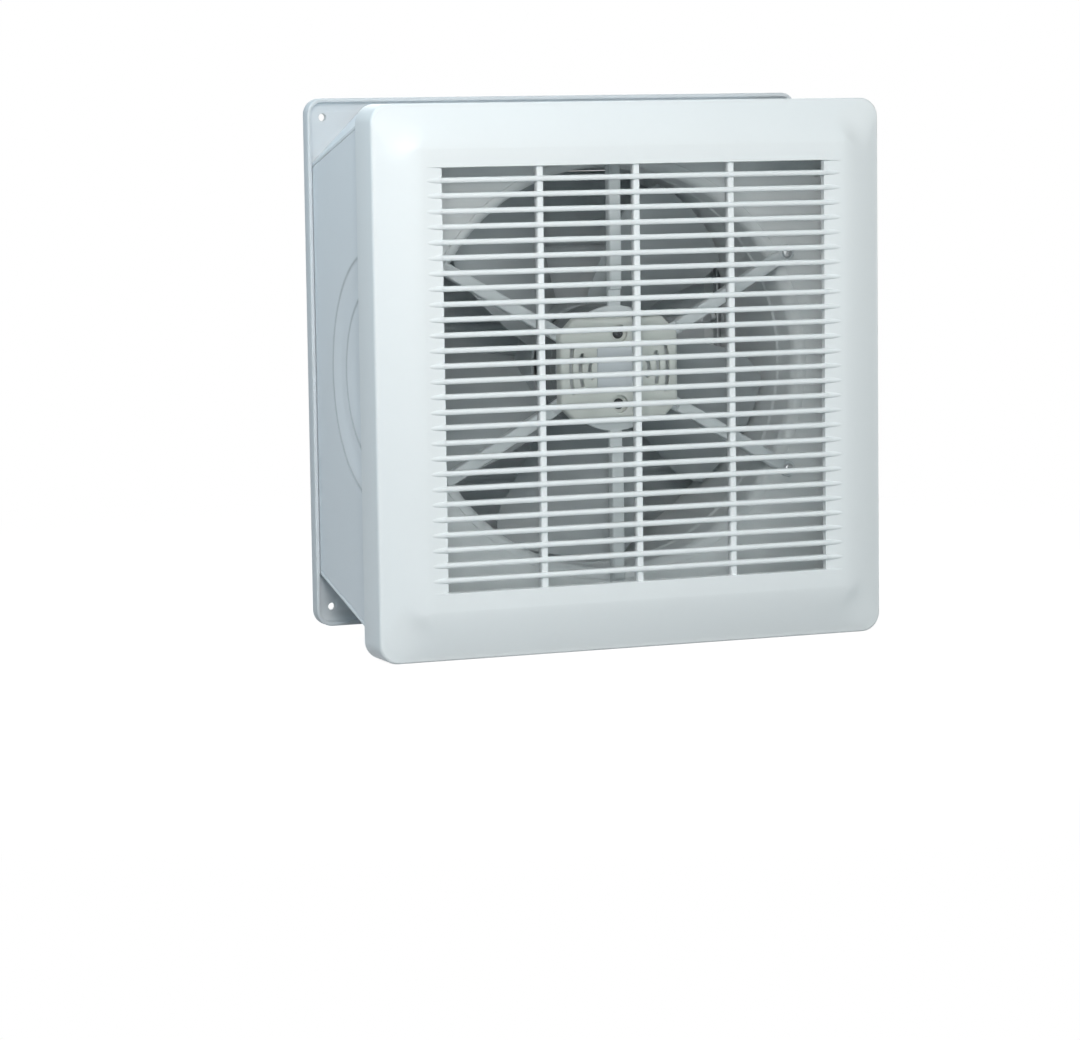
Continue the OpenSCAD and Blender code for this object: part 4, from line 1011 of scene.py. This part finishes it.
def link_bar():
    """A flat bar with a close hole for flap 1's crank pin and four loose ones."""
    m = Mesh()
    link_d = HINGE_D + crank_d
    link_z = [z + crank_up for z in HINGES]
    outline = arc(link_d, link_z[0], 3.5, 0, 180, 12) + arc(link_d, link_z[-1], 3.5, 180, 360, 12)
    bores = [circle(1.6 if i == 0 else 1.8, 20, link_d, z, hole=True) for i, z in enumerate(link_z)]
    stations = ((138.3, 0.5), (138.45, 0.15), (138.8, 0.0), (141.3, 0.0), (141.65, 0.15), (141.8, 0.5))
    ends = []
    for ring, share in [(outline, 1.0)] + [(bore, 0.3) for bore in bores]:
        ids = m.loops([[(x, d, z) for d, z in offset_loop(ring, o * share)] for x, o in stations])
        ends.append((ids[0], ids[-1]))
    for rings in zip(*ends):
        m.cap(rings, (1, 2))
    return m


piece("link_strip", link_bar(), STEEL, ["shutter_link"], "link")


# ---------------------------------------------------------------- fasteners and clips

def screw_head(x, z, d, h, back, angle):
    """A pan head with a cross recess; its seat is at depth d, and back turns it to the wall."""
    m = Mesh()
    s = -1 if back else 1
    cross = []
    for k in range(4):
        c, sn = math.cos(math.radians(90 * k + angle)), math.sin(math.radians(90 * k + angle))
        cross += [(px * c - pz * sn, px * sn + pz * c) for px, pz in ((0.45, -0.45), (2.1, -0.4), (2.1, 0.4))]
    dome = ((4.0, 0.0), (4.0, 0.35), (3.88, 0.9), (3.52, 1.5), (2.88, 2.0), (2.4, 2.2))
    rings = m.loops([at(circle(q, 36, x, z), d + s * t * h / 2.2) for q, t in dome])
    m.face(rings[0])
    top, low = m.loops([[(x + p * size, d + s * deep, z + q * size) for p, q in cross[::-1]]
                        for size, deep in ((1.0, h), (0.6, h - 1.3))])
    m.cap([rings[-1], top])
    m.cap([low])
    return m


def screws(name, places, d, node_name, shank, back=False, h=2.4, look=ZINC):
    """Screws with their heads' seats at depth d, and shanks that reach from there into the part."""
    m = Mesh()
    s = 1 if back else -1
    for k, (x, z) in enumerate(places):
        m.join(screw_head(x, z, d, h, back, 17.0 + 41.0 * k))
        steps = ((2.0, d), (2.0, d + s * (shank - 1)), (1.0, d + s * shank))
        m.join(prism([at(circle(q, 20, x, z), depth) for q, depth in steps]))
    return piece(name, m, look, [node_name])


deck_screws = [(sx * DECK_SCREW_X, AXIS_Z + sz * DECK_SCREW_Z) for sx, sz in CORNERS]
cover_screws = [(0.0, AXIS_Z + sz * COVER_SCREW) for sz in SIDES]
flange_screws = polar(FLANGE_SCREW_R, (45, 135, 225, 315))
screws("spider_screw_set", polar(FOOT_R, ARM_ANGLES), SPIDER_FRONT, "spider_screws", 10.0)
screws("deck_screw_set", deck_screws, DECK_FRONT, "deck_screws", 12.0)
screws("cover_screw_set", cover_screws, WELL_FLOOR, "cover_screws", 8.0, look=DARK_STEEL)
screws("body_screw_set", body_screws, HEAD_POCKET, "body_screws", 13.8, back=True, h=HEAD_POCKET)
screws("motor_screw_set", polar(EAR_HOLE_R, EAR_ANGLES), EAR_BACK, "motor_screws", 6.6, back=True)
screws("shutter_screw_set", flange_screws, COLLAR_FRONT, "shutter_screws", 7.2)

clips = Mesh()
# distance from the post's middle and depth: the two faces of a spring leaf, waisted round the post
leaf_in = [(3.8, 113.0), (3.8, 124.0), (3.5, 126.0), (4.6, 129.0)]
leaf_out = [(4.4, 113.0), (4.4, 124.0), (4.1, 126.0), (5.0, 129.0)]
for sx, sz in CORNERS:
    x, z = sx * POST, PANEL_Z + sz * POST
    foot = [(x - 4.8, 113.0), (x + 4.8, 113.0), (x + 4.8, 113.7), (x - 4.8, 113.7)]
    leaves = [[(x + side * w, d) for w, d in leaf_in + leaf_out[::-1]] for side in SIDES]
    for prof in leaves + [foot]:
        clips.join(bar_z(prof, z - 6.0, z + 6.0))
piece("grille_clip_set", clips, STEEL, ["grille_clips"])


# ---------------------------------------------------------------- CAD nodes that stay

KEPT = {
    "stator_core": SHEET, "stator_winding": COPPER, "front_bearing": BRONZE, "rear_bearing": BRONZE,
    "capacitor": COVER, "capacitor_clip": STEEL, "terminal_box": DUCT, "terminal_lid": DUCT,
    "terminal_block": BLACK, "terminal_screws": BRASS, "cable_grommet": RUBBER, "motor_lead": BLACK,
    "motor_shaft": STEEL, "rotor": SHEET, "impeller_washer": STEEL, "impeller_nut": STEEL,
}
for name, material in KEPT.items():
    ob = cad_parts[name]
    ob.data.materials.clear()
    ob.data.materials.append(material)
    soften(ob, 0.3, 2, 40)


# ---------------------------------------------------------------- stage, light and camera

def mix_shaders(nt, fac, a, b):
    return node(nt, "ShaderNodeMixShader", {0: fac, 1: a, 2: b}).outputs[0]


def seen_rays(nt, *kinds):
    """1 for the rays that show a surface or the world, 0 for those that only carry light."""
    rays = node(nt, "ShaderNodeLightPath").outputs
    out = rays[kinds[0]]
    for kind in kinds[1:]:
        out = maths(nt, "MAXIMUM", out, rays[kind])
    return out


def stage_material():
    """A pale floor that keeps a soft shadow near the object and turns white further out."""
    mat = bpy.data.materials.new("pale_floor")
    mat.use_nodes = True
    nt = mat.node_tree
    nt.nodes.clear()
    lit = node(nt, "ShaderNodeBsdfDiffuse", {"Color": (0.36, 0.37, 0.38, 1)}).outputs[0]
    seen = node(nt, "ShaderNodeBsdfDiffuse", {"Color": (0.26, 0.26, 0.26, 1)}).outputs[0]
    glow = node(nt, "ShaderNodeEmission", {"Strength": 0.93}).outputs[0]
    shaded = node(nt, "ShaderNodeAddShader", {0: seen, 1: glow}).outputs[0]
    coord = node(nt, "ShaderNodeTexCoord").outputs["Object"]
    reach = vector_maths(nt, "LENGTH", coord).outputs["Value"]
    fade = spread(nt, reach, 0.0, 1.0, 0.35, 0.95, interpolation_type="SMOOTHSTEP")
    near = mix_shaders(nt, fade, shaded, node(nt, "ShaderNodeEmission").outputs[0])
    surface = mix_shaders(nt, seen_rays(nt, "Is Camera Ray", "Is Glossy Ray"), lit, near)
    node(nt, "ShaderNodeOutputMaterial", {"Surface": surface})
    return mat


floor_mesh = bpy.data.meshes.new("floor")
FLOOR_HALF, FLOOR_Z = 9.0, -0.2082               # in metres, as are all places from here on
floor_pts = [(sx * FLOOR_HALF, sy * FLOOR_HALF, 0) for sx, sy in ((-1, -1), (1, -1), (1, 1), (-1, 1))]
floor_mesh.from_pydata(floor_pts, [], [(0, 1, 2, 3)])
floor = bpy.data.objects.new("floor", floor_mesh)
floor.location = (0, 0, FLOOR_Z)
bpy.context.scene.collection.objects.link(floor)
floor_mesh.materials.append(stage_material())

world = bpy.data.worlds.new("studio")
bpy.context.scene.world = world
world.use_nodes = True
nt = world.node_tree
nt.nodes.clear()
lit = node(nt, "ShaderNodeBackground", {"Color": (0.93, 0.97, 1.0, 1), "Strength": 0.06}).outputs[0]
white = node(nt, "ShaderNodeBackground", {"Color": (1, 1, 1, 1), "Strength": 1.0}).outputs[0]
shown = seen_rays(nt, "Is Camera Ray", "Is Glossy Ray", "Is Transmission Ray")
node(nt, "ShaderNodeOutputWorld", {"Surface": mix_shaders(nt, shown, lit, white)})


def lamp(name, place, target, size, watts, colour):
    data = bpy.data.lights.new(name, "AREA")
    data.shape = "SQUARE"
    data.size = size
    data.energy = watts
    data.color = colour
    ob = bpy.data.objects.new(name, data)
    ob.location = place
    ob.rotation_euler = (Vector(target) - Vector(place)).to_track_quat("-Z", "Y").to_euler()
    bpy.context.scene.collection.objects.link(ob)


lamp("key", (-0.58, -1.3, 0.58), (0, -0.15, 0), 0.45, 9.8, (1.0, 0.96, 0.94))
lamp("front", (-1.0, -2.6, 0.5), (0, -0.1, 0), 1.2, 9.0, (0.8, 1.0, 1.0))
lamp("fill", (1.9, -2.2, 0.5), (0, -0.1, 0), 1.6, 20.0, (0.92, 1.0, 1.0))
lamp("top", (-0.3, -1.2, 2.4), (0, -0.1, 0), 1.2, 5.0, (0.9, 1.0, 1.0))
lamp("side", (-0.9, -0.1, 1.0), (0, -0.05, 0), 0.6, 6.2, (0.66, 0.88, 1.0))
lamp("back", (0.9, 2.6, 1.3), (0, 0, 0), 1.6, 22.0, (1.0, 1.0, 1.0))

# the photograph's view
FOCAL_PX, PHOTO_W, SENSOR_W = 3767.7, 1080.0, 36.0
YAW, PITCH, ROLL = 21.880, 6.194, -0.801
EYE = (-1.0880, -2.6726, 0.1854)
cam_data = bpy.data.cameras.new("camera")
cam = bpy.data.objects.new("camera", cam_data)
bpy.context.scene.collection.objects.link(cam)
bpy.context.scene.camera = cam
cam_data.sensor_fit = "HORIZONTAL"
cam_data.sensor_width = SENSOR_W
cam_data.lens = FOCAL_PX / PHOTO_W * SENSOR_W
cam_data.clip_start = 0.05
cam_data.clip_end = 60.0
turns = [Matrix.Rotation(math.radians(a), 3, axis) for a, axis in ((ROLL, "Y"), (PITCH, "X"), (YAW, "Z"))]
right, ahead, up = turns[0] @ turns[1] @ turns[2]
cam.matrix_world = Matrix.Translation(Vector(EYE)) @ Matrix((right, up, -ahead)).transposed().to_4x4()

bpy.context.scene.view_settings.view_transform = "Standard"

bpy.context.view_layer.update()
